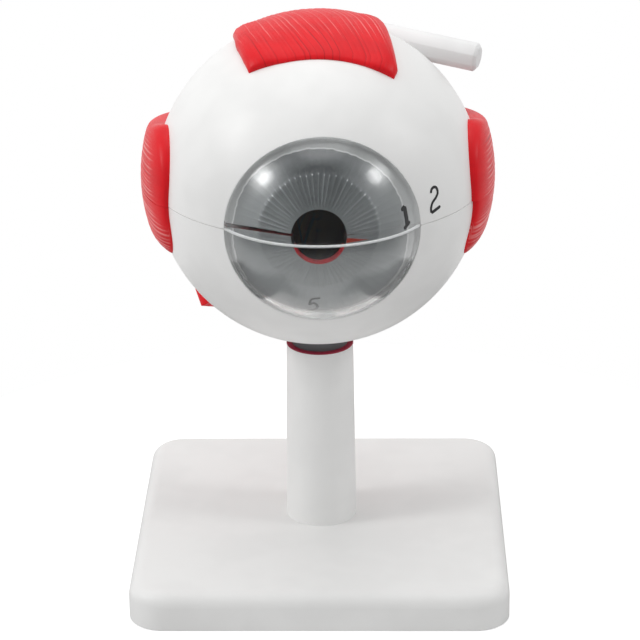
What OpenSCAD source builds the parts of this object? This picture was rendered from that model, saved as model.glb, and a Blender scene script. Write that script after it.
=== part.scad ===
// Dissectible eye model for the classroom, about five times life size, on a stand.
// Millimetres. +Z is up, the cornea looks along -Y, and the origin is the middle of the base's underside.
// "Forward" below means along the optic axis, out through the pupil.

/* [Stand] */
// Side of the square base
base_side = 140; // [120:2:180]
// Thickness of the base
base_h = 14; // [12:1:20]
// Corner radius of the base, seen from above
base_corner_r = 13; // [8:1:20]
// Rounding along the top edge of the base
base_edge_r = 5; // [2:0.5:7]
// Radius of the post at its foot
post_foot_r = 13.4; // [13:0.1:16]
// Radius of the post at its rim
post_rim_r = 12.6; // [12.4:0.1:14]
// Height of the post's rim, its washer included
post_rim_z = 85.3; // [80:0.1:86]
// Radius of the neck that turns in the post
neck_r = 10.5; // [8:0.1:10.6]
// Depth of the socket that holds the neck
socket_depth = 32; // [20:1:40]

/* [Eyeball] */
// Outer radius of the sclera
eye_r = 60; // [60:0.5:61]
// Height of the eye's centre above the table
eye_z = 149; // [148.5:0.1:152]
// Turn of the eye on the post, towards +X
eye_yaw = 2.7; // [-10:0.1:10]
// Wall of the sclera halves
sclera_wall = 3.6; // [3.4:0.1:3.6]
// Radius of the opening that holds the cornea
limbus_r = 34.5; // [34.4:0.1:35]
// Downward tilt of the cornea in the sclera
cornea_tilt = 1.05; // [0:0.05:1.2]
// Outer radius of the cornea's dome
cornea_r = 39.6; // [39.4:0.1:40]
// Distance of the cornea's tip from the eye's centre
cornea_tip = 69.4; // [69:0.1:70]
// Wall of the cornea
cornea_wall = 3; // [2:0.1:3.2]
// Gap between the upper and lower halves
seam_gap = 0.3; // [0.1:0.1:0.6]

/* [Inner parts] */
// Turn of the inner parts, a little short of the sclera's own
inner_yaw = 1.3; // [-10:0.1:10]
// Outer radius of the choroid halves
choroid_r = 56; // [55.5:0.1:56]
// Wall of the choroid halves
choroid_wall = 3; // [2:0.1:3]
// Thickness of the retina lining
retina_wall = 0.9; // [0.6:0.1:1]
// Radius of the pupil
pupil_r = 9.5; // [6:0.1:12]
// Distance of the pupil's edge from the eye's centre
pupil_a = 57; // [56.5:0.1:57.5]
// How far the iris falls back for each millimetre away from the pupil
iris_slope = 0.4545; // [0.44:0.0005:0.47]
// Outer radius of the iris halves
iris_r = 33.2; // [33:0.1:33.2]
// Slope of the upper iris half's cut edge, which leaves the slit beside the pupil
iris_ajar = 1.25; // [0.1:0.05:1.5]
// Radius of the lens
lens_r = 22.5; // [20:0.1:23]
// Outer radius of the vitreous body, a hollow ball glued from a front and a back half
vitreous_r = 51.5; // [50:0.1:51.7]

/* [Muscles] */
// Width across the top rectus muscle at its front edge
top_rectus_w = 51; // [40:1:54]
// Distance from the eye's centre forward to the front edges of the muscles
rectus_front = 25.4; // [22:0.1:30]
// Distance from the eye's centre back to the cut ends of the side muscles
rectus_back = 40; // [30:1:44]
// Radius of the rod that stands for the upper oblique tendon
tendon_r = 5.35; // [4:0.05:6]
// Radius of the optic nerve
nerve_r = 11; // [8:0.5:13]

/* [Hidden] */
$fn = 96;
big = 100;
hair = 0.01;
front_a = 30;
front_l = 40;

// Screw slots
slot_l = 6.2;
slot_w = 1.1;
slot_h = 1.2;

// Fits
running_gap = 0.06;
face_gap = 0.05;

// Stand
washer_h = 0.5;
washer_inset = 0.1;
post_top_z = post_rim_z - washer_h;
socket_r = neck_r + running_gap;
socket_floor_z = post_top_z - socket_depth;
screw_r = 3;
screw_hole_r = 3.3;
screw_head_r = 5.5;
screw_head_h = 3.5;
counterbore_r = 8;
counterbore_h = 6;
steel_washer_r = 7;
steel_washer_h = 1.2;
insert_r = 5;
insert_h = 16;
screw_reach = 12;

// Neck screw, countersunk into the sclera's wall
neck_screw_r = 2.5;
neck_screw_head_r = 4.6;
neck_screw_head_h = 2.1;
neck_screw_reach = 16;

// Sclera and its pegs
sclera_in_r = eye_r - sclera_wall;
neck_screw_top = -sclera_in_r - 0.3;
peg_r = 1;
peg_up = 3;
peg_down = 5;
peg_ring_r = eye_r - sclera_wall / 2;
peg_azimuths = [45, 135, 225, 315];

// Cornea
cornea_c = cornea_tip - cornea_r;
flange_gap = 0.1;
flange_back = 47.9;

// Iris: a shallow cone that falls back from the pupil's edge
iris_wall = 2.4;
iris_drop = (iris_r - pupil_r) * iris_slope;
iris_room = 0.5;
seat_in_r = 30;
ajar_x = 16.5;
pupil_drop = 1.4;

// Choroid and retina
choroid_in_r = choroid_r - choroid_wall;
retina_in_r = choroid_in_r - retina_wall;
retina_front = 31;

// Ciliary body: a ring of folds behind the iris
ciliary_in_r = 24;
ciliary_out_r = 29.5;
ciliary_back = 44.9;
fold_count = 12;
fold_w = 2.4;
fold_depth = 1.4;
fold_l = 10;
ciliary_l = 10;

// Lens and vitreous body
lens_front_a = 51;
lens_back_a = 32.5;
lens_front_r = 50;
lens_back_r = 30;
vitreous_front = 44.5;
vitreous_wall = 2;
seat_gap = 0.3;

// Muscles
upper_end = 25;
upper_corner_r = 20;
lower_end = 22.5;
lower_corner_r = 16;
medial_lower_end = 23.5;
medial_lower_corner_r = 10;
back_taper = 8;
side_near = 30;
side_depth = 50;
side_bulge_r = 62.6;
side_bulge_shift = [2.6, 4, 2];
top_bulge_r = 62.5;
top_bulge_shift = [0.3, 1.2, 0.3];
bottom_bulge_r = 61.6;
bottom_bulge_shift = [0, 2, -0.6];
top_lean = -12;
top_back = 45;
bottom_outline = [[-23, 1], [-18, 42], [16, 42], [26, -5]];
post_clear_r = 14.5;
lower_setback = 1.3;
oblique_turn = [0, 127.2, 154.1];
oblique_spin = 24.9;
oblique_l = 20;
oblique_w = 14;
oblique_t = 5;
oblique_wrap = 24;
tendon_start = [12.1, 40.8, 45.8];
tendon_turn = [0, 97.1, -21.2];
tendon_l = 52.3;
tendon_chamfer = 1.1;

// Optic nerve, towards the nose
nerve_azimuth = -15;
nerve_tip = 69.2;

// Colours
white = "white";
muscle_red = [0.85, 0.13, 0.14];
clear = [0.8, 0.85, 0.88, 0.35];

// Placing

module on_eye() { translate([0, 0, eye_z]) rotate([0, 0, eye_yaw]) children(); }

module in_eye() { translate([0, 0, eye_z]) rotate([0, 0, inner_yaw]) children(); }

// Local +Z becomes forward, at distance a from the eye's centre
module forward(a = 0) { rotate([90, 0, 0]) translate([0, 0, a]) children(); }

module tilted() { rotate([cornea_tilt, 0, 0]) children(); }

// Keeps what is above the seam's gap; a slope lets the cut rise from x towards -X
module upper_half(slope = 0, x = 0) {
    intersection() {
        children();
        translate([x, 0, seam_gap / 2]) rotate([0, slope, 0])
            translate([-big - x, -big, 0]) cube([2 * big, 2 * big, big]);
    }
}

module lower_half() {
    intersection() {
        children();
        translate([-big, -big, -seam_gap / 2 - big]) cube([2 * big, 2 * big, big]);
    }
}

module ring(r_out, r_in, h) {
    difference() {
        cylinder(r = r_out, h = h);
        translate([0, 0, -1]) cylinder(r = r_in, h = h + 2);
    }
}

// Stand

module rounded_outline(side, r) {
    square([side - 2 * r, side], center = true);
    square([side, side - 2 * r], center = true);
    for (x = [-1, 1], y = [-1, 1]) translate([x, y] * (side / 2 - r)) circle(r = r);
}

module base_form() {
    corner = base_side / 2 - base_corner_r;
    edge = base_side / 2 - base_edge_r;
    linear_extrude(base_h - base_edge_r) rounded_outline(base_side, base_corner_r);
    linear_extrude(base_h) rounded_outline(base_side - 2 * base_edge_r, base_corner_r - base_edge_r);
    for (q = [0:3]) rotate([0, 0, 90 * q]) translate([0, 0, base_h - base_edge_r]) {
        translate([edge, -corner, 0]) rotate([-90, 0, 0]) cylinder(r = base_edge_r, h = 2 * corner);
        translate([corner, corner, 0]) rotate_extrude(angle = 90)
            translate([base_corner_r - base_edge_r, 0]) circle(r = base_edge_r);
    }
}

module base_plate() {
    color(white) difference() {
        base_form();
        translate([0, 0, -1]) cylinder(r = screw_hole_r, h = base_h + 2);
        translate([0, 0, -1]) cylinder(r = counterbore_r, h = counterbore_h + 1);
    }
}

module post() {
    color(white) difference() {
        translate([0, 0, base_h]) cylinder(r1 = post_foot_r, r2 = post_rim_r, h = post_top_z - base_h);
        translate([0, 0, socket_floor_z]) cylinder(r = socket_r, h = socket_depth + 1);
        translate([0, 0, base_h - 1]) cylinder(r = insert_r, h = insert_h + 1);
    }
}

module post_insert() {
    color("goldenrod") translate([0, 0, base_h]) ring(insert_r, screw_r, insert_h);
}

module post_screw() {
    head_z = counterbore_h - steel_washer_h - screw_head_h;
    color("silver") difference() {
        union() {
            translate([0, 0, head_z]) cylinder(r = screw_head_r, h = screw_head_h);
            translate([0, 0, head_z]) cylinder(r = screw_r, h = base_h + screw_reach - head_z);
        }
        for (turn = [0, 90]) rotate([0, 0, turn])
            translate([-slot_l / 2, -slot_w / 2, head_z - 1]) cube([slot_l, slot_w, slot_h + 1]);
    }
}

module post_washer() {
    color("silver") translate([0, 0, counterbore_h - steel_washer_h])
        ring(steel_washer_r, screw_hole_r, steel_washer_h);
}

module rim_washer() {
    color([0.7, 0.2, 0.3]) translate([0, 0, post_top_z]) ring(post_rim_r - washer_inset, socket_r, washer_h);
}

// Eyeball

module neck_spigot() {
    color([0.45, 0.46, 0.47]) on_eye() difference() {
        translate([0, 0, socket_floor_z + face_gap - eye_z])
            cylinder(r = neck_r, h = eye_z - socket_floor_z - sclera_in_r);
        sphere(r = eye_r);
        translate([0, 0, -eye_r - neck_screw_reach]) cylinder(r = neck_screw_r, h = 2 * neck_screw_reach);
    }
}

module neck_screw_form() {
    cone_z = neck_screw_top - neck_screw_head_h;
    foot_z = -eye_r - neck_screw_reach;
    translate([0, 0, cone_z]) cylinder(r1 = neck_screw_r, r2 = neck_screw_head_r, h = neck_screw_head_h);
    translate([0, 0, foot_z]) cylinder(r = neck_screw_r, h = cone_z - foot_z);
}

module neck_screw() {
    color("silver") on_eye() difference() {
        neck_screw_form();
        translate([-slot_l / 2, -slot_w / 2, neck_screw_top - slot_h]) cube([slot_l, slot_w, slot_h + 1]);
    }
}

// Room in the sclera for the edge of the iris, which is turned with the inner parts
module iris_recess() {
    rotate([0, 0, inner_yaw - eye_yaw]) forward(front_a)
        cylinder(r = iris_r + iris_room, h = pupil_a - iris_drop + iris_room - front_a);
}

module sclera_form() {
    difference() {
        sphere(r = eye_r);
        sphere(r = sclera_in_r);
        tilted() forward(front_a) cylinder(r = limbus_r, h = front_l);
        iris_recess();
    }
}

module pegs_form(r, up) {
    for (azimuth = peg_azimuths) rotate([0, 0, azimuth])
        translate([peg_ring_r, 0, -peg_down]) cylinder(r = r, h = peg_down + up);
}

module sclera_upper() {
    color(white) on_eye() difference() {
        upper_half() sclera_form();
        pegs_form(peg_r + running_gap, peg_up + 1);
    }
}

module sclera_lower() {
    color(white) on_eye() difference() {
        lower_half() sclera_form();
        pegs_form(peg_r, 1);
        neck_screw_form();
        translate([0, 0, neck_screw_top - hair]) cylinder(r = neck_screw_head_r, h = 2);
    }
}

module locating_pegs() { color("silver") on_eye() pegs_form(peg_r, peg_up); }

module cornea_form() {
    tilted() forward() difference() {
        intersection() {
            translate([0, 0, cornea_c]) sphere(r = cornea_r);
            translate([0, 0, flange_back]) cylinder(r = limbus_r - flange_gap, h = front_l);
        }
        translate([0, 0, cornea_c]) sphere(r = cornea_r - cornea_wall);
    }
}

module cornea_upper() { color(clear) on_eye() upper_half() cornea_form(); }

module cornea_lower() { color(clear) on_eye() lower_half() cornea_form(); }

// A muscle lies on the sclera, thin at its front edge, inside the prism given as its child
module on_sclera(bulge_r, shift) {
    difference() {
        intersection() {
            translate(shift) sphere(r = bulge_r);
            children();
        }
        sphere(r = eye_r);
    }
}

// Outline of half a side muscle seen from +X: local X is back, and local Y is away from the seam
module side_outline(end, corner_r) {
    x0 = corner_r - rectus_front;
    polygon([[x0, -1], [rectus_back, -1], [rectus_back, end - back_taper], [x0, end]]);
    translate([-rectus_front, -1]) square([corner_r + 1, end - corner_r + 1]);
    translate([x0, end - corner_r]) circle(r = corner_r);
}

module side_prism(end, corner_r, setback = 0) {
    translate([side_near, setback, 0]) rotate([90, 0, 90]) linear_extrude(side_depth)
        side_outline(end, corner_r);
}

module side_upper() {
    on_sclera(side_bulge_r, side_bulge_shift) side_prism(upper_end, upper_corner_r);
}

module side_lower(end, corner_r, setback = 0) {
    on_sclera(side_bulge_r, side_bulge_shift) mirror([0, 0, 1]) side_prism(end, corner_r, setback);
}

module medial_rectus_upper() { color(muscle_red) on_eye() upper_half() side_upper(); }

module medial_rectus_lower() {
    color(muscle_red) on_eye() lower_half()
        side_lower(medial_lower_end, medial_lower_corner_r, lower_setback);
}

module lateral_rectus_upper() { color(muscle_red) on_eye() mirror([1, 0, 0]) upper_half() side_upper(); }

module lateral_rectus_lower() {
    color(muscle_red) on_eye() mirror([1, 0, 0]) lower_half() side_lower(lower_end, lower_corner_r);
}

// Outline of the top muscle seen from above: it leans to -X towards the back
module top_outline() {
    w = top_rectus_w / 2;
    f = -rectus_front;
    polygon([
        [-w + 1.5, f + 1], [-w - 1, f + 8], [-w - 3.3, f + 19], [-w - 4.4, f + 41], [-w - 2, f + 58],
        [-w + 4, top_back], [w + top_lean - 2, top_back], [w - 5, f + 41], [w - 0.7, f + 27],
        [w + 2.2, f + 2], [w + 0.8, f - 1.6], [0, f - 0.6]
    ]);
}

module superior_rectus() {
    color(muscle_red) on_eye() on_sclera(top_bulge_r, top_bulge_shift) linear_extrude(big) top_outline();
}

module inferior_rectus() {
    color(muscle_red) on_eye() difference() {
        on_sclera(bottom_bulge_r, bottom_bulge_shift) translate([0, 0, -big]) linear_extrude(big)
            polygon(bottom_outline);
        translate([0, 0, -big]) cylinder(r = post_clear_r, h = big);
    }
}

// The lower oblique comes down from under the outer muscle and leaves the sclera as a flat strap
module inferior_oblique() {
    under = eye_r - oblique_t;
    color(muscle_red) on_eye() difference() {
        rotate(oblique_turn) rotate([0, 0, oblique_spin]) {
            translate([0, -oblique_w / 2, under]) cube([oblique_l, oblique_w, 2 * oblique_t]);
            rotate([0, -90, 0]) rotate([90, 0, 0]) rotate_extrude(angle = oblique_wrap)
                translate([under, -oblique_w / 2]) square([2 * oblique_t, oblique_w]);
        }
        sphere(r = eye_r);
        mirror([1, 0, 0]) mirror([0, 0, 1]) side_prism(lower_end, lower_corner_r);
    }
}

// The upper oblique tendon comes out from under the top muscle as a straight rod
module superior_oblique_tendon() {
    color(white) on_eye() difference() {
        translate(tendon_start) rotate(tendon_turn) {
            cylinder(r = tendon_r, h = tendon_l - tendon_chamfer);
            translate([0, 0, tendon_l - tendon_chamfer])
                cylinder(r1 = tendon_r, r2 = tendon_r - tendon_chamfer, h = tendon_chamfer);
        }
        sphere(r = eye_r);
        linear_extrude(big) top_outline();
    }
}

module optic_nerve_form() {
    difference() {
        rotate([0, 0, nerve_azimuth]) rotate([-90, 0, 0]) translate([0, 0, eye_r - 5])
            cylinder(r = nerve_r, h = nerve_tip - eye_r + 5);
        sphere(r = eye_r);
    }
}

module optic_nerve_upper() { color("khaki") on_eye() upper_half() optic_nerve_form(); }

module optic_nerve_lower() { color("khaki") on_eye() lower_half() optic_nerve_form(); }

// Inner parts

// Everything in front of the cone that falls back from the pupil's edge, moved back by depth
module before_iris(depth) {
    reach = 45;
    rise = reach * iris_slope;
    forward(pupil_a - depth + (pupil_r - reach) * iris_slope) difference() {
        cylinder(r = reach, h = front_l);
        translate([0, 0, -hair]) cylinder(r1 = reach, r2 = 0, h = rise);
    }
}

module iris_form(drop = 0) {
    difference() {
        intersection() {
            before_iris(iris_wall);
            forward(pupil_a - iris_wall - iris_drop) cylinder(r = iris_r, h = iris_drop + iris_wall);
        }
        before_iris(0);
        forward(front_a) translate([0, -drop, 0]) cylinder(r = pupil_r, h = front_l);
    }
}

module iris_upper() {
    color("slategray") in_eye() upper_half() upper_half(iris_ajar, ajar_x) iris_form();
}

module iris_lower() { color("slategray") in_eye() lower_half() iris_form(pupil_drop); }

module choroid_form() {
    difference() {
        sphere(r = choroid_r);
        sphere(r = choroid_in_r);
        before_iris(iris_wall);
        forward(front_a) cylinder(r = seat_in_r, h = front_l);
    }
}

module choroid_upper() { color([0.45, 0.15, 0.1]) in_eye() upper_half() choroid_form(); }

module choroid_lower() { color([0.45, 0.15, 0.1]) in_eye() lower_half() choroid_form(); }

module retina_form() {
    difference() {
        sphere(r = choroid_in_r);
        sphere(r = retina_in_r);
        forward(retina_front) cylinder(r = eye_r, h = front_l);
    }
}

module retina_upper() { color([0.95, 0.5, 0.25]) in_eye() upper_half() retina_form(); }

module retina_lower() { color([0.95, 0.5, 0.25]) in_eye() lower_half() retina_form(); }

module ciliary_form() {
    difference() {
        forward(ciliary_back) ring(ciliary_out_r, ciliary_in_r, ciliary_l);
        before_iris(iris_wall);
        for (k = [0:2 * fold_count - 1]) forward() rotate([0, 0, (k + 0.5) * 180 / fold_count])
            translate([(ciliary_in_r + ciliary_out_r - fold_l) / 2, -fold_w / 2, ciliary_back - 1])
                cube([fold_l, fold_w, fold_depth + 1]);
    }
}

module ciliary_body_upper() { color([0.25, 0.12, 0.1]) in_eye() upper_half() ciliary_form(); }

module ciliary_body_lower() { color([0.25, 0.12, 0.1]) in_eye() lower_half() ciliary_form(); }

module lens() {
    color(clear) in_eye() forward() intersection() {
        translate([0, 0, lens_front_a - lens_front_r]) sphere(r = lens_front_r);
        translate([0, 0, lens_back_a + lens_back_r]) sphere(r = lens_back_r);
        translate([0, 0, lens_back_a]) cylinder(r = lens_r, h = lens_front_a - lens_back_a);
    }
}

// A ball with a flat front that has the lens's seat in it, all its faces moved in by inset
module vitreous_form(inset) {
    seat_r = lens_r + seat_gap + inset;
    back_r = lens_back_r + seat_gap + inset;
    edge_a = lens_back_a + lens_back_r - sqrt(back_r * back_r - seat_r * seat_r);
    forward() difference() {
        intersection() {
            sphere(r = vitreous_r - inset);
            translate([0, 0, vitreous_front - inset - 2 * big]) cylinder(r = big, h = 2 * big);
        }
        translate([0, 0, edge_a]) cylinder(r = seat_r, h = front_l);
        intersection() {
            translate([0, 0, lens_back_a + lens_back_r]) sphere(r = back_r);
            translate([0, 0, lens_back_a - front_l / 2]) cylinder(r = seat_r, h = front_l);
        }
    }
}

module vitreous_half(from_a) {
    color(clear) in_eye() intersection() {
        difference() {
            vitreous_form(0);
            vitreous_form(vitreous_wall);
        }
        forward(from_a) cylinder(r = big, h = big);
    }
}

module vitreous_front() { vitreous_half(0); }

module vitreous_back() { vitreous_half(-big); }

base_plate();
post();
post_insert();
post_screw();
post_washer();
rim_washer();
neck_spigot();
neck_screw();
sclera_lower();
cornea_lower();
lateral_rectus_lower();
medial_rectus_lower();
inferior_rectus();
inferior_oblique();
optic_nerve_lower();
locating_pegs();
sclera_upper();
cornea_upper();
superior_rectus();
lateral_rectus_upper();
medial_rectus_upper();
superior_oblique_tendon();
optic_nerve_upper();
choroid_upper();
retina_upper();
ciliary_body_upper();
iris_upper();
choroid_lower();
retina_lower();
ciliary_body_lower();
iris_lower();
vitreous_front();
vitreous_back();
lens();
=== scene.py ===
"""Dressed model of a dissectible classroom eye on its stand.

The classes hold their sizes in millimetres. The eye frame has its origin at the ball's centre, +Z up and
the cornea towards -Y. The inner frame is the same for the parts inside the ball, which are turned a
little less. "Forward" is the distance from the centre along the optic axis, out through the pupil.
"""

import logging
import math
from dataclasses import dataclass
from enum import Enum
from typing import Callable

import bmesh
import bpy
import numpy as np
from mathutils import Matrix, Vector, noise

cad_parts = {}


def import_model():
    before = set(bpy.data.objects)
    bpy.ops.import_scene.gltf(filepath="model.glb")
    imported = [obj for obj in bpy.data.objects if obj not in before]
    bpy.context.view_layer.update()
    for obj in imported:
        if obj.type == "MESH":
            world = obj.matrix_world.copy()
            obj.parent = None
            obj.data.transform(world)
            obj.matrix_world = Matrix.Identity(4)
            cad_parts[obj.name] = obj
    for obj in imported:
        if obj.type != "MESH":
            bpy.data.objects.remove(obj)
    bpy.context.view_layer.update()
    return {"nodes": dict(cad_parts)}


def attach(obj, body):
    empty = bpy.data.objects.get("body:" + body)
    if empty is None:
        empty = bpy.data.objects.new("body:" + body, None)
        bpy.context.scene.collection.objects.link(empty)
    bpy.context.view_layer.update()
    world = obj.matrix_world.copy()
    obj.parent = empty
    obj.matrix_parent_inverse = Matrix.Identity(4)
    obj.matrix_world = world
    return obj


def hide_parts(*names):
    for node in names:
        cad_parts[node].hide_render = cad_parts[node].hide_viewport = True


LOG = logging.getLogger("eye_model")
MM = 0.001
FULL_TURN = 2 * math.pi

EYE_Z = 0.149  # the ball's centre over the table, in metres
HEART = (0.0, 0.0, EYE_Z)
BALL_R = 60.0
SEAM = 0.15  # half of the gap between the shells' halves
JOINT = 0.04  # half of the gap between a muscle's halves
SUNK = 0.15  # how deep a muscle's underside is in the ball
WELD = 0.004  # distance at which points of two grids are one
CREASE = math.radians(38)  # edges sharper than this stay sharp when a mesh is shaded smooth

Array = np.ndarray
Tree = bpy.types.NodeTree
Node = bpy.types.Node
Pairs = tuple[tuple[float, float], ...]
Settle = Callable[[Array], tuple[Array, Array]]
Strokes = tuple[tuple[list[tuple[float, float, float]], float], ...]

SMOOTH = {"interpolation_type": "SMOOTHSTEP"}  # a Map Range node with soft ends
COLOURS = {"data_type": "RGBA"}  # a Mix node whose inputs are the share (0) and two colours (6 and 7)


def frame_at(yaw: float) -> Matrix:
    """Returns the matrix from millimetres at the ball's centre, turned by yaw degrees, to the scene."""
    turn = Matrix.Rotation(math.radians(yaw), 4, "Z")
    return Matrix.Translation((0, 0, EYE_Z)) @ turn @ Matrix.Scale(MM, 4)


EYE = frame_at(2.7)
INNER = frame_at(1.3)
TILT = Matrix.Rotation(math.radians(1.05), 4, "X")
DOME = EYE @ TILT


class Half(Enum):
    """Which side of the seam a piece is on."""

    UPPER = 1
    LOWER = -1

    @property
    def word(self) -> str:
        """The half's word in the names of nodes and pieces."""
        return self.name.lower()

    @property
    def shell(self) -> str:
        """The body that the outer pieces of this half ride on."""
        return f"{self.word}_eye"

    @property
    def core(self) -> str:
        """The body that the inner pieces of this half ride on."""
        return f"inner_{self.word}"

    @property
    def seam_cut(self) -> tuple[Vector, Vector]:
        """A point on this half's side of the seam, and the normal towards the other half."""
        return Vector((0, 0, SEAM * self.value)), Vector((0, 0, -self.value))


class Side(Enum):
    """Side of the head: the nose is towards +X."""

    LATERAL = -1
    MEDIAL = 1


# ---------------------------------------------------------------- colours and nodes


def srgb(code: str) -> tuple[float, float, float, float]:
    """Turns an sRGB hex colour into linear values.

    Args:
        code: six hex digits.

    Returns:
        Linear red, green and blue, and an alpha of 1.
    """
    parts = [int(code[i : i + 2], 16) / 255 for i in (0, 2, 4)]
    linear = [p / 12.92 if p <= 0.04045 else ((p + 0.055) / 1.055) ** 2.4 for p in parts]
    return (*linear, 1.0)


def add(tree: Tree, kind: str, inputs: dict | None = None, **settings: str) -> Node:
    """Adds a node with its settings and links.

    Args:
        tree: the node tree.
        kind: the node's type name, without the words ShaderNode.
        inputs: for each input, by name or number, a value, a hex colour, or the node or output that feeds
            it. A node feeds it from its first output that is switched on.
        settings: the node's own properties.

    Returns:
        The new node.
    """
    node = tree.nodes.new(f"ShaderNode{kind}")
    for key, value in settings.items():
        setattr(node, key, value)
    for key, value in (inputs or {}).items():
        if isinstance(value, Node):
            value = next(output for output in value.outputs if output.enabled)
        if isinstance(value, bpy.types.NodeSocket):
            tree.links.new(value, node.inputs[key])
        else:
            node.inputs[key].default_value = srgb(value) if isinstance(value, str) else value
    return node


def speckle(tree: Tree, size: float, detail: float = 2.0) -> Node:
    """Adds noise of a real size that sticks to the object.

    Args:
        tree: the node tree.
        size: width of its blobs in millimetres.
        detail: how many finer layers it has.

    Returns:
        The noise, in 0..1.
    """
    place = add(tree, "TexCoord").outputs["Object"]
    real = add(tree, "VectorMath", {0: place, 3: 1 / MM}, operation="SCALE")
    return add(tree, "TexNoise", {"Vector": real, "Scale": 1 / size, "Detail": detail, "Roughness": 0.55})


# ---------------------------------------------------------------- finishes


@dataclass(frozen=True)
class Finish:
    """A finish that makes one Blender material.

    Args:
        name: the material's name, which says what it is made of and how its surface was made.
    """

    name: str

    def shade(self, tree: Tree) -> Node:
        """Builds the nodes and returns the shader."""
        raise NotImplementedError

    def material(self) -> bpy.types.Material:
        """Makes the finish's material the first time, and finds it after that.

        Returns:
            The material.
        """
        known = bpy.data.materials.get(self.name)
        if known:
            return known
        made = bpy.data.materials.new(self.name)
        made.use_nodes = True
        made.node_tree.nodes.clear()
        add(made.node_tree, "OutputMaterial", {"Surface": self.shade(made.node_tree)})
        return made

    def skin(self, tree: Tree, grain: Node, depth: float, inputs: dict) -> Node:
        """Adds the shader of an opaque skin with a grain that is depth millimetres deep."""
        bump = add(tree, "Bump", {"Height": grain, "Distance": depth * MM})
        return add(tree, "BsdfPrincipled", {"Normal": bump, **inputs})


@dataclass(frozen=True)
class MouldedPlastic(Finish):
    """Injection-moulded ABS: an even colour, a soft sheen and a faint cloudiness in the skin.

    Args:
        colour: hex colour of the plastic.
        cloudy: hex colour of the cloudier patches.
        roughness: middle roughness; a satin mould gives about 0.4.
        grain: size of the mould's spark-eroded grain in millimetres. The real grain of about 0.1 mm is
            too fine for the render, so it is drawn coarser.
        depth: depth of the grain in millimetres.
    """

    colour: str
    cloudy: str
    roughness: float
    grain: float = 0.5
    depth: float = 0.006

    def shade(self, tree: Tree) -> Node:
        """Builds the nodes.

        Args:
            tree: the material's node tree.

        Returns:
            The shader.
        """
        cloud = add(tree, "MapRange", {0: speckle(tree, 22.0), 1: 0.4, 2: 0.65}, **SMOOTH)
        grain = speckle(tree, self.grain, 3.0)
        low, high = self.roughness - 0.05, self.roughness + 0.07
        inputs = {
            "Base Color": add(tree, "Mix", {0: cloud, 6: self.colour, 7: self.cloudy}, **COLOURS),
            "Roughness": add(tree, "MapRange", {0: grain, 1: 0.25, 2: 0.75, 3: low, 4: high}, **SMOOTH),
            "IOR": 1.5,
        }
        return self.skin(tree, grain, self.depth, inputs)


@dataclass(frozen=True)
class MuscleLacquer(Finish):
    """Lacquer brushed over moulded fibre lines, with painted shade in the grooves and a painted highlight on
    the crests.

    The mesh holds "fibre", the height of the lines: 0.5 between them, 0 in a groove and 1 on a crest.

    Args:
        groove: hex colour of the painted shade in the grooves.
        body: hex colour between them.
        crest: hex colour of the painted highlight on the crests.
    """

    groove: str
    body: str
    crest: str

    def shade(self, tree: Tree) -> Node:
        """Builds the nodes.

        Args:
            tree: the material's node tree.

        Returns:
            The shader.
        """
        fibre = add(tree, "Attribute", attribute_name="fibre").outputs["Fac"]
        above = add(tree, "MapRange", {0: fibre, 1: 0.06, 2: 0.42}, **SMOOTH)
        low = add(tree, "Mix", {0: above, 6: self.groove, 7: self.body}, **COLOURS)
        painted_highlight = add(tree, "MapRange", {0: fibre, 1: 0.62, 2: 0.98}, **SMOOTH)
        line = add(tree, "Mix", {0: painted_highlight, 6: low, 7: self.crest}, **COLOURS)
        patch, fine = speckle(tree, 7.0, 3.0), speckle(tree, 0.6, 3.0)
        thick = add(tree, "MapRange", {0: patch, 1: 0.35, 2: 0.7, 3: 0.0, 4: 0.25}, **SMOOTH)
        inputs = {
            "Base Color": add(tree, "Mix", {0: thick, 6: line, 7: "BE101B"}, **COLOURS),
            "Roughness": add(tree, "MapRange", {0: fine, 1: 0.3, 2: 0.7, 3: 0.36, 4: 0.5}, **SMOOTH),
            "IOR": 1.3,
            "Coat Weight": 0.04,
            "Coat Roughness": 0.3,
        }
        return self.skin(tree, fine, 0.02, inputs)


@dataclass(frozen=True)
class ClearAcrylic(Finish):
    """Moulded clear acrylic: see-through, with a skin that spreads highlights into soft glows.

    Lamps reach what is behind it through the shadow ray's share, as they do through thin acrylic.

    Args:
        tint: hex colour of light that has passed through.
        haze: roughness of the skin's highlights.
        gloss: weight of those highlights.
        lamp_tint: hex colour of the lamps' light that a face lets through.
    """

    tint: str
    haze: float
    gloss: float
    lamp_tint: str

    def shade(self, tree: Tree) -> Node:
        """Builds the nodes.

        Args:
            tree: the material's node tree.

        Returns:
            The shader.
        """
        swirl = speckle(tree, 9.0)
        inputs = {
            "Base Color": self.tint,
            "Roughness": add(tree, "MapRange", {0: swirl, 1: 0.3, 2: 0.7, 3: 0.01, 4: 0.03}, **SMOOTH),
            "IOR": 1.49,
            "Transmission Weight": 1.0,
            "Specular Tint": "202020",
            "Coat Weight": self.gloss,
            "Coat Roughness": self.haze,
            "Coat IOR": 1.49,
        }
        body = add(tree, "BsdfPrincipled", inputs)
        through = add(tree, "BsdfTransparent", {"Color": self.lamp_tint})
        lamp = add(tree, "LightPath").outputs["Is Shadow Ray"]
        return add(tree, "MixShader", {0: lamp, 1: body, 2: through})


@dataclass(frozen=True)
class SawnAcrylic(Finish):
    """The matt white look of acrylic where a fine saw has cut it.

    The saw's marks are about 0.1 mm apart, and are drawn 0.35 mm wide so that they show.
    """

    def shade(self, tree: Tree) -> Node:
        """Builds the nodes.

        Args:
            tree: the material's node tree.

        Returns:
            The shader.
        """
        saw = speckle(tree, 0.35, 3.0)
        rough = add(tree, "MapRange", {0: saw, 1: 0.3, 2: 0.7}, **SMOOTH)
        colour = add(tree, "Mix", {0: rough, 6: "E4E6E6", 7: "FAFAFA"}, **COLOURS)
        return self.skin(tree, saw, 0.05, {"Base Color": colour, "Roughness": 0.55})


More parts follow.
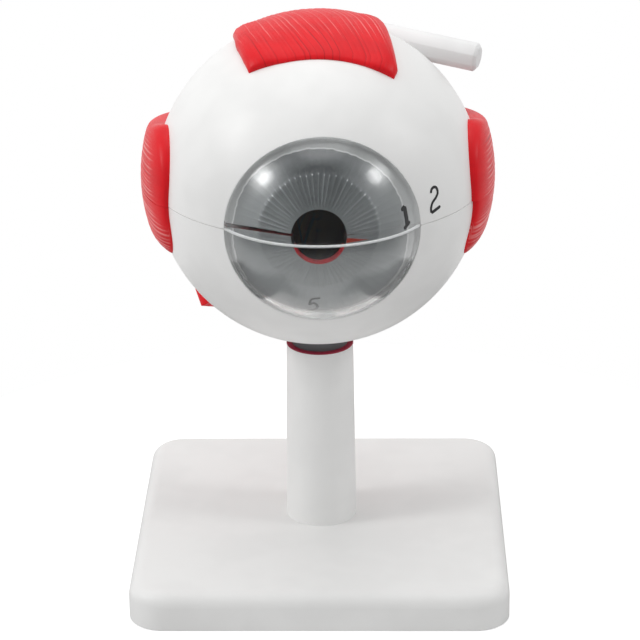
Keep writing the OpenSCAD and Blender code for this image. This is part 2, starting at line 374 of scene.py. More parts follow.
@dataclass(frozen=True)
class IrisPaint(Finish):
    """Silver-grey paint brushed out from the pupil over moulded ridges, short of the piece's pale edge.

    The mesh holds "ridge" (crest height, over 1 where a crest's end gets a painted highlight), "ring" (0 at
    the pupil, 1 at the outer edge of the ridges, and on outwards), "bare" (0.5 at the paint's edge, 1 a
    millimetre outside it), "sheen" (painted light on the brushed paint, lighter towards the sides and below),
    "dark" (painted shade, deepened where patches of paint are thick) and "red" (1 where the red of the cut
    edge has run over).

    Args:
        layers: the names of those layers.
    """

    layers: tuple[str, ...] = ("ridge", "ring", "bare", "painted_sheen", "dark", "red")

    def shade(self, tree: Tree) -> Node:
        """Builds the nodes.

        Args:
            tree: the material's node tree.

        Returns:
            The shader.
        """
        ridge, ring, bare, painted_sheen, dark, red = (
            add(tree, "Attribute", attribute_name=layer).outputs["Fac"] for layer in self.layers
        )
        crest = add(tree, "MapRange", {0: ridge, 1: 0.25, 2: 0.9}, **SMOOTH)
        inner = add(tree, "Mix", {0: crest, 6: "6F7374", 7: "989D9F"}, **COLOURS)
        outer = add(tree, "Mix", {0: crest, 6: "7D8082", 7: "929597"}, **COLOURS)
        beyond = add(tree, "MapRange", {0: ring, 1: 0.93, 2: 1.06}, **SMOOTH)
        coat = add(tree, "Mix", {0: beyond, 6: inner, 7: outer}, **COLOURS)
        pool = speckle(tree, 1.2, 4.0)
        thick = add(tree, "MapRange", {0: pool, 1: 0.35, 2: 0.6, 3: 0.7, 4: 1.0}, **SMOOTH)
        smudge, painted_flake_light, dust, painted_highlight = (
            add(tree, "MapRange", {0: source, 1: low, 2: high, 3: 0.0, 4: most}, **SMOOTH)
            for source, low, high, most in (
                (speckle(tree, 6.5, 4.0), 0.42, 0.68, 0.3),
                (painted_sheen, 0.0, 1.0, 0.5),
                (speckle(tree, 0.7, 4.0), 0.66, 0.74, 0.5),
                (ridge, 1.0, 1.3, 1.0),
            )
        )
        # Layers over the coat in turn: smudges, painted light on the brushed paint, painted shade, dust,
        # painted highlights on the crests' ends, and run red.
        for share, colour in (
            (smudge, "66696B"),
            (painted_flake_light, "BFC2C3"),
            (add(tree, "Math", {0: dark, 1: thick}, operation="MULTIPLY"), "3C4042"),
            (dust, "B9BBBC"),
            (painted_highlight, "E4E6E6"),
            (red, "B03018"),
        ):
            coat = add(tree, "Mix", {0: share, 6: coat, 7: colour}, **COLOURS)
        outside = add(tree, "MapRange", {0: bare, 1: 0.62, 2: 0.8}, **SMOOTH)
        pale = add(tree, "Mix", {0: outside, 6: "EDEEEE", 7: "C9CBCB"}, **COLOURS)
        unpainted = add(tree, "MapRange", {0: bare, 1: 0.44, 2: 0.56}, **SMOOTH)
        brush = speckle(tree, 1.1, 3.0)
        inputs = {
            "Base Color": add(tree, "Mix", {0: unpainted, 6: coat, 7: pale}, **COLOURS),
            "Metallic": 0.12,
            "Roughness": add(tree, "MapRange", {0: brush, 1: 0.3, 2: 0.7, 3: 0.34, 4: 0.5}, **SMOOTH),
        }
        return self.skin(tree, speckle(tree, 0.5, 3.0), 0.03, inputs)


@dataclass(frozen=True)
class MottledPaint(Finish):
    """Hand-brushed enamel in two close colours, with brush mottling.

    Args:
        first: hex colour of most of it.
        second: hex colour of the patches.
        patch: size of the patches in millimetres.
        roughness: middle roughness; brushed enamel gives about 0.4.
    """

    first: str
    second: str
    patch: float
    roughness: float = 0.45

    def shade(self, tree: Tree) -> Node:
        """Builds the nodes.

        Args:
            tree: the material's node tree.

        Returns:
            The shader.
        """
        patch = add(tree, "MapRange", {0: speckle(tree, self.patch, 5.0), 1: 0.38, 2: 0.64}, **SMOOTH)
        brush = speckle(tree, 0.8)
        low, high = self.roughness - 0.07, self.roughness + 0.1
        inputs = {
            "Base Color": add(tree, "Mix", {0: patch, 6: self.first, 7: self.second}, **COLOURS),
            "Roughness": add(tree, "MapRange", {0: brush, 1: 0.3, 2: 0.7, 3: low, 4: high}, **SMOOTH),
        }
        return self.skin(tree, brush, 0.03, inputs)


@dataclass(frozen=True)
class WornMetal(Finish):
    """Plated or turned metal with fine turning marks and a little tarnish.

    Args:
        colour: hex colour of the metal.
        dull: hex colour of the tarnish.
        roughness: lowest roughness; a plated or turned skin gives about 0.25.
    """

    colour: str
    dull: str
    roughness: float

    def shade(self, tree: Tree) -> Node:
        """Builds the nodes.

        Args:
            tree: the material's node tree.

        Returns:
            The shader.
        """
        tarnish = speckle(tree, 1.6, 4.0)
        share = add(tree, "MapRange", {0: tarnish, 1: 0.45, 2: 0.75}, **SMOOTH)
        low, high = self.roughness, self.roughness + 0.16
        inputs = {
            "Base Color": add(tree, "Mix", {0: share, 6: self.colour, 7: self.dull}, **COLOURS),
            "Metallic": 1.0,
            "Roughness": add(tree, "MapRange", {0: tarnish, 1: 0.3, 2: 0.7, 3: low, 4: high}, **SMOOTH),
        }
        return self.skin(tree, speckle(tree, 0.3), 0.01, inputs)


SATIN_WHITE = MouldedPlastic("satin_moulded_abs", "E9E9E8", "E6E6E5", 0.45)
POST_WHITE = MouldedPlastic("satin_turned_abs", "F0F0EF", "EDEDEC", 0.45)
SCLERA_WHITE = MouldedPlastic("sclera_moulded_abs", "F2F2F1", "EEEEED", 0.4, 0.6)
ROD_WHITE = MouldedPlastic("tendon_moulded_abs", "F0F0F0", "EAEAEA", 0.45)
NECK_NYLON = MouldedPlastic("turned_grey_nylon", "6A6C6E", "5F6163", 0.5, 0.4, 0.01)
WASHER_RED = MouldedPlastic("pressed_red_rubber", "A82440", "8E1D38", 0.6, 0.4, 0.01)
MUSCLE_RED = MuscleLacquer("brushed_red_lacquer", "8E0A16", "E2141F", "F79593")
CORNEA_CLEAR = ClearAcrylic("moulded_clear_acrylic", "F8F9F9", 0.2, 1.0, "F8F9F9")
# The lens and the vitreous body carry grey tints and dark lamp tints as painted shade: they keep the inside
# of the eye dark, so the pupil shows black.
LENS_SHADE_TINTED = ClearAcrylic("shade_tinted_lens_acrylic", "C6C8C6", 0.12, 0.15, "484A4A")
VITREOUS_SHADE_TINTED = ClearAcrylic("shade_tinted_vitreous_acrylic", "DADEDE", 0.12, 0.2, "909494")
SAWN_EDGE = SawnAcrylic("sawn_acrylic_edge")
IRIS_SILVER = IrisPaint("brushed_silver_paint")
EDGE_RED = MottledPaint("red_edge_enamel", "C4202B", "96151E", 3.0, 0.35)
SLIT_RED = MottledPaint("dark_red_edge_enamel", "7A1C1A", "3E0F10", 3.0)
# The pupil's wall is painted near black: painted shade inside the pupil.
THROAT_SHADE = MottledPaint("throat_painted_shade_enamel", "1E1614", "120D0C", 3.0, 0.6)
CHOROID_BROWN = MottledPaint("brown_choroid_enamel", "5E1C16", "33100D", 4.0)
RETINA_ORANGE = MottledPaint("orange_retina_enamel", "E07A3E", "CC5E2C", 6.0, 0.4)
CILIARY_BROWN = MottledPaint("dark_ciliary_enamel", "3A1A14", "220D0A", 2.5)
NERVE_CREAM = MottledPaint("cream_nerve_enamel", "EAD9A0", "D9BF78", 3.0)
NERVE_BUNDLES = MuscleLacquer("painted_nerve_bundles", "B98A4A", "E6D29A", "F6ECC8")
VESSEL_RED = MottledPaint("artery_red_enamel", "C2161C", "9E1016", 2.0, 0.3)
VESSEL_BLUE = MottledPaint("vein_blue_enamel", "2F3F8F", "25306F", 2.0, 0.3)
DISC_YELLOW = MottledPaint("yellow_disc_enamel", "F2DC8C", "E2C468", 2.0, 0.4)
MACULA_BROWN = MottledPaint("macula_brown_enamel", "B4401F", "8E2F18", 1.5, 0.4)
BLACK_INK = MottledPaint("black_marker_ink", "141416", "232326", 1.0, 0.35)
GREY_INK = MottledPaint("grey_pencil_mark", "2E3133", "3C4042", 0.8, 0.6)
ZINC_STEEL = WornMetal("zinc_plated_steel", "C8C9CC", "8F9195", 0.28)
TURNED_BRASS = WornMetal("turned_brass", "D9B25E", "A8843F", 0.25)


# ---------------------------------------------------------------- meshes


class MeshPlan:
    """A mesh under construction: grids of points in millimetres, with layers of painted values."""

    def __init__(self, *layers: str) -> None:
        """Starts an empty plan.

        Args:
            layers: the names of its layers.
        """
        self.layers = layers
        self.points: list[Array] = []
        self.values: dict[str, list[Array]] = {layer: [] for layer in layers}
        self.faces: list[tuple[int, ...]] = []
        self.finish: list[int] = []
        self.count = 0

    def grid(
        self, points: Array, closed: bool = False, finish: int = 0, flip: bool = False, **values: Array
    ) -> None:
        """Adds a grid of quads.

        Args:
            points: array of rows by columns by 3.
            closed: joins the last column to the first.
            finish: number of the grid's finish.
            flip: turns the faces over.
            values: for each layer, an array of rows by columns, or nothing for zeros.
        """
        rows, columns = points.shape[:2]
        ids = np.arange(rows * columns).reshape(rows, columns) + self.count
        if closed:
            ids = np.concatenate([ids, ids[:, :1]], axis=1)
        quads = np.stack([ids[:-1, :-1], ids[:-1, 1:], ids[1:, 1:], ids[1:, :-1]], axis=-1).reshape(-1, 4)
        if flip:
            quads = quads[:, ::-1]
        self.faces += [tuple(q) for q in quads.tolist()]
        self.finish += [finish] * len(quads)
        self.points.append(points.reshape(-1, 3))
        for layer in self.layers:
            given = values.get(layer)
            self.values[layer].append(np.zeros(rows * columns) if given is None else given.reshape(-1))
        self.count += rows * columns

    def slab(self, outer: Array, inner: Array, **values: Array) -> None:
        """Adds a closed slab between two grids of the same size, with walls round its rim.

        Args:
            outer: the grid on the outside.
            inner: the grid on the inside.
            values: for each layer, an array of rows by columns.
        """
        self.grid(outer, **values)
        self.grid(inner, flip=True, **values)
        for side, flip in (
            (np.s_[0], True), (np.s_[-1], False), (np.s_[:, 0], False), (np.s_[:, -1], True)
        ):
            rim = {layer: np.stack([value[side]] * 2) for layer, value in values.items()}
            self.grid(np.stack([outer[side], inner[side]]), flip=flip, **rim)

    def build(
        self,
        name: str,
        place: Matrix,
        finishes: list[Finish],
        cuts: list[tuple[Vector, Vector, int]] | None = None,
    ) -> bpy.types.Object:
        """Makes the object: welds the grids, cuts them with planes and closes each cut.

        Args:
            name: the object's name.
            place: matrix from the plan's millimetres to the scene.
            finishes: one for each finish number.
            cuts: for each plane, a point on it, its normal, on whose side all is cut away, and the
                number of the cut face's finish.

        Returns:
            The new object.
        """
        mesh = bpy.data.meshes.new(name)
        mesh.from_pydata(np.concatenate(self.points).tolist(), [], self.faces)
        mesh.polygons.foreach_set("material_index", self.finish)
        for layer in self.layers:
            store = mesh.attributes.new(layer, "FLOAT", "POINT")
            store.data.foreach_set("value", np.concatenate(self.values[layer]).astype(np.float32))
        work = bmesh.new()
        work.from_mesh(mesh)
        bmesh.ops.remove_doubles(work, verts=work.verts, dist=WELD)
        bmesh.ops.dissolve_degenerate(work, edges=work.edges, dist=WELD / 2)
        bmesh.ops.recalc_face_normals(work, faces=work.faces)
        for point, normal, finish in cuts or []:
            parts = [*work.verts, *work.edges, *work.faces]
            done = bmesh.ops.bisect_plane(
                work, geom=parts, dist=1e-5, plane_co=point, plane_no=normal, clear_outer=True
            )
            rim = [e for e in done["geom_cut"] if isinstance(e, bmesh.types.BMEdge)]
            for face in bmesh.ops.edgeloop_fill(work, edges=rim)["faces"]:
                face.material_index = finish
            bmesh.ops.recalc_face_normals(work, faces=work.faces)
        if work.calc_volume(signed=True) < 0:
            bmesh.ops.reverse_faces(work, faces=work.faces)
        bmesh.ops.transform(work, matrix=place, verts=work.verts)
        work.to_mesh(mesh)
        work.free()
        mesh.shade_smooth()
        mesh.set_sharp_from_angle(angle=CREASE)
        for finish in finishes:
            mesh.materials.append(finish.material())
        LOG.info("%s: %d faces", name, len(mesh.polygons))
        return put(name, mesh)


def install(piece: bpy.types.Object, body: str, slot: str, *nodes: str) -> None:
    """Makes a piece ride on its body, and stand for CAD nodes.

    Args:
        piece: the piece.
        body: the body's name in the record.
        slot: the material slot's name in the record; not used.
        nodes: the CAD nodes that it replaces.
    """
    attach(piece, body)
    if nodes:
        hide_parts(*nodes)


def put(name: str, data: bpy.types.ID) -> bpy.types.Object:
    """Adds an object to the scene.

    Args:
        name: its name.
        data: its mesh, lamp or camera.

    Returns:
        The new object.
    """
    made = bpy.data.objects.new(name, data)
    bpy.context.scene.collection.objects.link(made)
    return made


def circle(count: int) -> Array:
    """Returns count angles once round, without the last that meets the first."""
    return np.linspace(0, FULL_TURN, count, endpoint=False)


def ring_at(angle: Array, radius: Array | float, height: float) -> Array:
    """Returns a ring of points about Z at the angles."""
    return np.stack([radius * np.cos(angle), radius * np.sin(angle), np.full(angle.shape, height)], -1)


def smooth_through(knots: list[tuple[float, ...]], count: int) -> Array:
    """Draws a Catmull-Rom curve.

    Args:
        knots: the points that it goes through.
        count: how many points to return.

    Returns:
        Points on the curve.
    """
    known = np.array(knots, float)
    padded = np.vstack([2 * known[0] - known[1], known, 2 * known[-1] - known[-2]])
    at = np.linspace(0, len(known) - 1 - 1e-9, count)
    k = at.astype(int)
    t = (at - k)[:, None]
    p0, p1, p2, p3 = (padded[k + i] for i in range(4))
    return 0.5 * (
        2 * p1 + (p2 - p0) * t + (2 * p0 - 5 * p1 + 4 * p2 - p3) * t**2 + (3 * p1 - p0 - 3 * p2 + p3) * t**3
    )


def waver(points: Array, size: float, seed: float) -> Array:
    """Gives each point a value that changes gently from place to place.

    Args:
        points: array whose last axis holds the places in millimetres.
        size: distance over which the value changes.
        seed: shift of the noise, for another pattern.

    Returns:
        The values, in -1..1.
    """
    flat = points.reshape(-1, 3) / size
    found = [noise.noise(Vector((x, y, z + seed))) for x, y, z in flat.tolist()]
    return np.array(found).reshape(points.shape[:-1])


def rounding(distance: Array, width: float) -> Array:
    """Rises from 0 at an edge to 1 at width from it, as a quarter circle."""
    t = np.clip(distance / width, 0, 1)
    return np.sqrt(np.clip(1 - (1 - t) ** 2, 0, 1))


def step(value: Array, low: float, high: float) -> Array:
    """Rises smoothly from 0 at low to 1 at high."""
    t = np.clip((value - low) / (high - low), 0, 1)
    return t * t * (3 - 2 * t)


def hill(value: Array, middle: float, width: float) -> Array:
    """Is 1 at the middle and falls to 0 on both sides, over about twice the width."""
    return np.exp(-(((value - middle) / width) ** 2))


# ---------------------------------------------------------------- muscles


@dataclass(frozen=True)
class Fibres:
    """Moulded fibre lines: thin crests and grooves at uneven spacing.

    Args:
        seed: seed of their spacing.
        spacing: mean distance between crests in millimetres.
        height: how far a crest stands out in millimetres.
        strength: how strongly the lines differ from the lacquer between them.
        width: half the width of a line in millimetres.
        reach: how far to both sides they go, in millimetres.
        pitch: distance between the places where their height is worked out.
    """

    seed: int
    spacing: float
    height: float = 0.3
    strength: float = 1.0
    width: float = 0.3
    reach: float = 90.0
    pitch: float = 0.05

    def profile(self, across: Array) -> Array:
        """Works out the height of the lines: strong ones, and finer ones between them.

        Args:
            across: distances across the lines.

        Returns:
            The height there, in 0..1; 0.5 is between lines.
        """
        rng = np.random.default_rng(self.seed)
        table = np.arange(-self.reach, self.reach, self.pitch)
        value = np.full(table.shape, 0.5)
        strong = (self.spacing, 0.5, self.width)
        fine = (self.spacing * 0.42, 0.2, self.width * 0.67)
        for spacing, strength, width in (strong, fine):
            place = -self.reach
            while place < self.reach:
                place += spacing * rng.uniform(0.55, 1.45)
                value += self.strength * strength * rng.uniform(0.4, 1.0) * hill(table, place, width)
                dip = place + spacing * rng.uniform(0.3, 0.6)
                value -= 0.8 * strength * rng.uniform(0.2, 1.0) * hill(table, dip, width * 1.3)
        return np.interp(across, table, np.clip(value, 0, 1))


@dataclass(frozen=True)
class Bulge:
    """The sphere that a muscle's outer surface follows, off the ball's centre so that its ends are thin.

    Args:
        radius: the sphere's radius.
        centre: its centre in the eye frame, or the mirrored one for the other side.
    """

    radius: float
    centre: tuple[float, float, float]

    def thickness(self, ways: Array) -> Array:
        """Measures the muscle on the ball.

        Args:
            ways: unit vectors from the ball's centre.

        Returns:
            Its thickness along them.
        """
        along = ways @ np.array(self.centre)
        off = float(np.dot(self.centre, self.centre))
        return along + np.sqrt(along**2 - off + self.radius**2) - BALL_R


def install_muscle(
    node: str, kind: str, half: Half, outer: Array, inner: Array, fibre: Array, place: Matrix = EYE
) -> None:
    """Builds a muscle as a slab in place of its node.

    Args:
        node: the CAD node's name.
        kind: last word of the piece's name.
        half: the half of the ball that it is on.
        outer: grid of its outer surface.
        inner: grid of its underside.
        fibre: height of the fibre lines at each point of a grid.
        place: matrix from the grids' millimetres to the scene.
    """
    plan = MeshPlan("fibre")
    plan.slab(outer, inner, fibre=fibre)
    install(plan.build(f"{node}_{kind}", place, [MUSCLE_RED]), half.shell, "muscle_red", node)


@dataclass
class TopRectus:
    """The muscle on top: it leans towards -X as it goes back.

    Args:
        bulge: the sphere of its outer surface.
        left: Y and X of points on its left edge.
        right: Y and X of points on its right edge.
        front: Y of its front edge, from left to right.
        back: Y of its back edge.
        span: its width at the front, over which the fibre lines are counted.
        lean: how far the fibre lines lean, at the left, in the middle and at the right.
        ends: place, half width and share of the swelling near each front corner, over its width.
        swell: height of that swelling.
        rounds: over how far its sides, its back and its front are rounded.
        fibres: its fibre lines.
    """

    bulge: Bulge
    left: Pairs = (
        (-24.4, -24.6), (-17.4, -26.5), (-6.4, -28.8), (15.6, -29.9), (32.6, -27.5), (45.0, -22.0)
    )
    right: Pairs = (
        (-27.0, 26.3), (-23.4, 27.6), (1.6, 25.0), (15.6, 20.8), (32.6, 15.6), (45.0, 11.5)
    )
    front: tuple[float, ...] = (-24.4, -25.6, -26.0, -26.4, -27.0)
    back: float = 45.0
    span: float = 51.0
    lean: tuple[float, float, float] = (0.04, 0.25, 0.12)
    ends: tuple[tuple[float, float, float], ...] = ((0.09, 0.1, 1.0), (0.91, 0.08, 0.9))
    swell: float = 1.5
    rounds: tuple[float, float, float] = (2.6, 3.0, 9.0)
    fibres: Fibres = Fibres(11, spacing=2.1, height=0.4, width=0.26)

    def lines(self, u: Array, ball: Array) -> Array:
        """Draws the fibre lines, which are grooves at the front and crests farther back.

        Args:
            u: share of the width at each column.
            ball: points on the ball.

        Returns:
            The lines' height, in 0..1.
        """
        y = ball[..., 1]
        lean = np.interp(u, (0, 0.5, 1), self.lean)
        fibre = self.fibres.profile((u - 0.5) * self.span + lean * y + 0.4 * waver(ball, 16, 3))
        raised = 0.3 + 0.75 * step(y, -22, -8)
        sunk = 1.0 - 0.45 * step(y, -20, -2)
        return 0.5 + np.where(fibre > 0.5, raised, sunk) * (fibre - 0.5)

    def build(self) -> None:
        """Builds the muscle in place of its node."""
        across, along = 230, 84
        u = np.linspace(0, 1, across)[None, :]
        v = (np.linspace(0, 1, along) ** 1.15)[:, None]
        front = np.interp(u, np.linspace(0, 1, len(self.front)), self.front)
        y = front + (self.back - front) * v
        left = np.interp(y, *np.array(self.left).T)
        right = np.interp(y, *np.array(self.right).T)
        x = left + (right - left) * u
        z = np.sqrt(BALL_R**2 - x**2 - y**2)
        ball = np.stack([x, y, z], axis=-1)
        ways = ball / BALL_R
        at_side, at_back, at_front = self.rounds
        edge = rounding(x - left, at_side) * rounding(right - x, at_side) * rounding(self.back - y, at_back)
        ends = sum(share * hill(u, place, width) for place, width, share in self.ends)
        thick = self.bulge.thickness(ways) + self.swell * ends * (1 - step(y, 5, 14))
        thick = thick * edge * (0.3 + 0.7 * rounding(y - front, at_front))
        fibre = self.lines(u, ball)
        fade = step(x - left, 0.3, 2.0) * step(right - x, 0.3, 2.0) * (0.7 + 0.3 * waver(ball, 9, 8))
        lift = (fibre - 1.0) * self.fibres.height * fade * edge
        outer = ways * (BALL_R + thick + lift)[..., None]
        shown = 0.5 + (fibre - 0.5) * (0.35 + 0.65 * fade)
        install_muscle("superior_rectus", "muscle", Half.UPPER, outer, ways * (BALL_R - SUNK), shown)


@dataclass
class SideRectus:
    """A muscle on one side of the ball, split at the seam.

    Args:
        side: the side of the head.
        half: the half of the ball.
        bulge: the sphere of its outer surface.
        front: Y of its front edge.
        back: Y of its back edge.
        corner_r: radius of its front corner.
        edge_z: how far from the seam its long edge is behind that corner.
        back_z: how far from the seam that edge is at the back.
        setback: how far it is moved back.
        dip: how far the upper half's long edge comes down behind its front.
        rounds: over how far the upper half's long edge, the lower half's and the front are rounded.
    """

    side: Side
    half: Half
    bulge: Bulge
    front: float = -25.4
    back: float = 40.0
    corner_r: float = 16.0
    edge_z: float = 25.0
    back_z: float = 17.0
    setback: float = 0.0
    dip: float = 1.6
    rounds: tuple[float, float, float] = (3.4, 9.0, 9.0)

    def rim(self, y: Array) -> Array:
        """Follows the solid's long edge, and dips under it on the upper half.

        Args:
            y: distances back.

        Returns:
            How far from the seam the edge is there.
        """
        x0 = self.front + self.corner_r
        arc = self.edge_z - self.corner_r + np.sqrt(np.clip(self.corner_r**2 - (y - x0) ** 2, 0, None))
        straight = self.edge_z + (self.back_z - self.edge_z) * (y - x0) / (self.back - x0)
        dip = self.dip * step(y, -10, 3) * (self.half is Half.UPPER)
        return np.where(y < x0, arc, straight) - dip

    def build(self) -> None:
        """Builds the muscle in place of its node."""
        upper = self.half is Half.UPPER
        along, across = 76, 130
        t = np.linspace(0, 1, along)[None, :]
        y = self.front + (self.back - self.front) * t**1.3
        w = np.linspace(0, 1, across)[:, None]
        rim = self.rim(y)
        height = JOINT + w * (rim - JOINT)
        z = height * self.half.value
        y = y + self.setback
        x = np.sqrt(BALL_R**2 - y**2 - z**2)
        ball = np.stack([x, np.broadcast_to(y, z.shape), z], axis=-1)
        ways = ball / BALL_R
        corner_y = self.front + self.corner_r + self.setback
        corner_z = self.edge_z - self.corner_r
        corner = np.hypot(np.clip(corner_y - y, 0, None), np.clip(height - corner_z, 0, None))
        straight = y - self.front - self.setback
        from_front = np.minimum(np.broadcast_to(straight, z.shape), self.corner_r - corner)
        from_front = np.clip(np.where(height < corner_z, straight, from_front), 0, None)
        end = rounding(rim - height, self.rounds[0] if upper else self.rounds[1])
        thick = self.bulge.thickness(ways) * end * (0.3 + 0.7 * rounding(from_front, self.rounds[2]))
        spacing, strength = (1.7, 1.5) if upper else (1.45, 1.8)
        seed = 23 + 7 * self.side.value + self.half.value
        lines = Fibres(seed, spacing, height=0.4, strength=strength, width=0.4)
        nominal = self.edge_z + (self.back_z - self.edge_z) * (y - self.front) / (self.back - self.front)
        level = height / nominal * self.edge_z * self.half.value
        fibre = lines.profile(level + 0.8 * waver(ball, 14, 5))
        inland = step(from_front, 2, 11) if upper else step(from_front + (height - 4) * 1.2, 2, 12)
        fade = inland * step(rim - height, 0.2, 1.5) * (0.75 + 0.4 * waver(ball, 8, 2))
        outer = ways * (BALL_R + thick + (fibre - 1.0) * lines.height * fade * end)[..., None]
        inner = ways * (BALL_R - SUNK)
        inner[0, :, 2] = z[0]
        outer[0, :, 2] = z[0]
        mirror = np.array([self.side.value, 1, 1])
        node = f"{self.side.name.lower()}_rectus_{self.half.word}"
        shown = 0.5 + (fibre - 0.5) * (0.2 + 0.8 * fade)
        install_muscle(node, "muscle", self.half, outer * mirror, inner * mirror, shown)


@dataclass
class BottomRectus:
    """The muscle underneath, whose front edge goes round the neck.

    Args:
        bulge: the sphere of its outer surface.
        left: Y and X of points on its left edge.
        right: Y and X of points on its right edge.
        front: Y of its front edge at the left and at the right.
        back: Y of its back edge.
        notch_r: radius of the notch round the neck.
        notch_x: X of the notch's centre.
        rounds: over how far its sides, its back and its front are rounded.
    """

    bulge: Bulge
    left: Pairs = ((-5.0, -23.6), (1.0, -23.0), (42.0, -18.0))
    right: Pairs = ((-5.0, 26.0), (42.0, 16.0))
    front: tuple[float, float] = (1.0, -5.0)
    back: float = 42.0
    notch_r: float = 14.6
    notch_x: float = 1.0
    rounds: tuple[float, float, float] = (3.0, 2.5, 5.0)

    def build(self) -> None:
        """Builds the muscle in place of its node."""
        across, along = 200, 50
        u = np.linspace(0, 1, across)[None, :]
        v = np.linspace(0, 1, along)[:, None]
        wide = -23.0 + 49.0 * u
        straight = self.front[0] + (self.front[1] - self.front[0]) * u
        notch = np.sqrt(np.clip(self.notch_r**2 - (wide - self.notch_x) ** 2, 0, None))
        front = np.maximum(straight, notch)
        y = front + (self.back - front) * v
        left = np.interp(y, *np.array(self.left).T)
        right = np.interp(y, *np.array(self.right).T)
        x = left + (right - left) * u
        z = -np.sqrt(BALL_R**2 - x**2 - y**2)
        ball = np.stack([x, y, z], axis=-1)
        ways = ball / BALL_R
        at_side, at_back, at_front = self.rounds
        edge = rounding(x - left, at_side) * rounding(right - x, at_side) * rounding(self.back - y, at_back)
        thick = self.bulge.thickness(ways) * edge * (0.4 + 0.6 * rounding(y - front, at_front))
        lines = Fibres(31, spacing=2.0)
        fibre = lines.profile((u - 0.5) * 42 + 0.7 * waver(ball, 14, 6))
        outer = ways * (BALL_R + thick + (fibre - 0.5) * lines.height * edge)[..., None]
        install_muscle("inferior_rectus", "muscle", Half.LOWER, outer, ways * (BALL_R - SUNK), fibre)


@dataclass
class LowerOblique:
    """The strap that comes from under the outer muscle and leaves the ball in a straight line.

    Args:
        length: length of the straight end.
        width: its width.
        thickness: its thickness.
        wrap: angle over which it lies on the ball, in degrees.
        sunk: how deep its underside is in the ball.
        turns: where it leaves the ball: turns about Z, Y and Z in degrees.
        rounds: over how far its sides and its end are rounded.
    """

    length: float = 20.0
    width: float = 14.0
    thickness: float = 5.0
    wrap: float = 24.0
    sunk: float = 0.1
    turns: tuple[float, float, float] = (154.1, 127.2, 24.9)
    rounds: tuple[float, float] = (1.2, 0.9)

    def build(self) -> None:
        """Builds the strap in place of its node."""
        place = EYE
        for angle, axis in zip(self.turns, "ZYZ"):
            place = place @ Matrix.Rotation(math.radians(angle), 4, axis)
        along, across = 80, 60
        start = -math.radians(self.wrap) * BALL_R
        way = start + (self.length - start) * np.sin(np.linspace(0, math.pi / 2, along))[:, None]
        side = np.sin(np.linspace(-math.pi / 2, math.pi / 2, across))[None, :] * self.width / 2
        angle = np.clip(way, None, 0) / BALL_R
        run = np.clip(way, 0, None)
        from_side = self.width / 2 - np.abs(side)
        edge = rounding(from_side, self.rounds[0]) * rounding(self.length - way, self.rounds[1])
        lines = Fibres(43, spacing=1.6)
        calm = 0.5 + (lines.profile(side) - 0.5) * step(from_side, 0.1, 0.9)
        fibre = np.broadcast_to(calm, (along, across))
        top = BALL_R + self.thickness * (0.15 + 0.85 * edge) + (fibre - 0.5) * lines.height * edge
        wide = np.broadcast_to(side, top.shape)
        outer = np.stack([np.sin(angle) * top + run, wide, np.cos(angle) * top], axis=-1)
        under_r = np.sqrt((BALL_R - self.sunk) ** 2 - side**2)
        under_z = np.sqrt(np.clip(under_r**2 - run**2, 0, None)) + 0.35 * rounding(run, 14) * (1 - edge)
        on_ball = way < 0
        inner_x = np.where(on_ball, np.sin(angle) * under_r, run + 0 * side)
        inner_z = np.where(on_ball, np.cos(angle) * under_r, under_z)
        inner = np.stack([inner_x, wide, inner_z], axis=-1)
        install_muscle("inferior_oblique", "strap", Half.LOWER, outer, inner, fibre, place)


@dataclass
class ObliqueTendon:
    """The straight white rod: moulded slightly flat-sided, with a chamfered end.

    Args:
        start: its inner end.
        turn: turns about Y and Z that point it, in degrees.
        length: its length.
        radius: its radius.
        chamfer: length of the chamfer.
        sides: number of its flat sides.
        flatness: how flat they are; 1 is a prism.
    """

    start: tuple[float, float, float] = (12.1, 40.8, 45.8)
    turn: tuple[float, float] = (97.1, -21.2)
    length: float = 52.3
    radius: float = 5.35
    chamfer: float = 1.1
    sides: int = 8
    flatness: float = 0.55

    def build(self) -> None:
        """Builds the rod in place of its node."""
        angle = circle(128)
        facet = math.pi / self.sides
        flat = math.cos(facet) / np.cos((angle + facet) % (2 * facet) - facet)
        section = self.radius * (1 - self.flatness + self.flatness * flat / flat.max())
        stops = [
            (0.0, 0.0), (0.0, 0.9), (0.3, 0.97), (1.0, 1.0), (self.length * 0.5, 0.995),
            (self.length - self.chamfer - 0.2, 1.0), (self.length - self.chamfer + 0.15, 0.975),
            (self.length - 0.25, 0.8), (self.length, 0.74), (self.length, 0.0),
        ]
        plan = MeshPlan()
        plan.grid(np.stack([ring_at(angle, section * share, at) for at, share in stops]), closed=True)
        place = EYE @ Matrix.Translation(self.start)
        for turn, axis in zip(reversed(self.turn), "ZY"):
            place = place @ Matrix.Rotation(math.radians(turn), 4, axis)
        piece = plan.build("superior_oblique_rod", place, [ROD_WHITE])
        install(piece, Half.UPPER.shell, "tendon_white", "superior_oblique_tendon")


# ---------------------------------------------------------------- cornea and iris


def forward_rings(radius: Array, forward: Array, around: Array) -> Array:
    """Returns rings of points about the optic axis, for their radii, distances forward and angles."""
    x, z = np.outer(radius, np.cos(around)), np.outer(radius, np.sin(around))
    return np.stack([x, np.broadcast_to(-np.reshape(forward, (-1, 1)), x.shape), z], axis=-1)


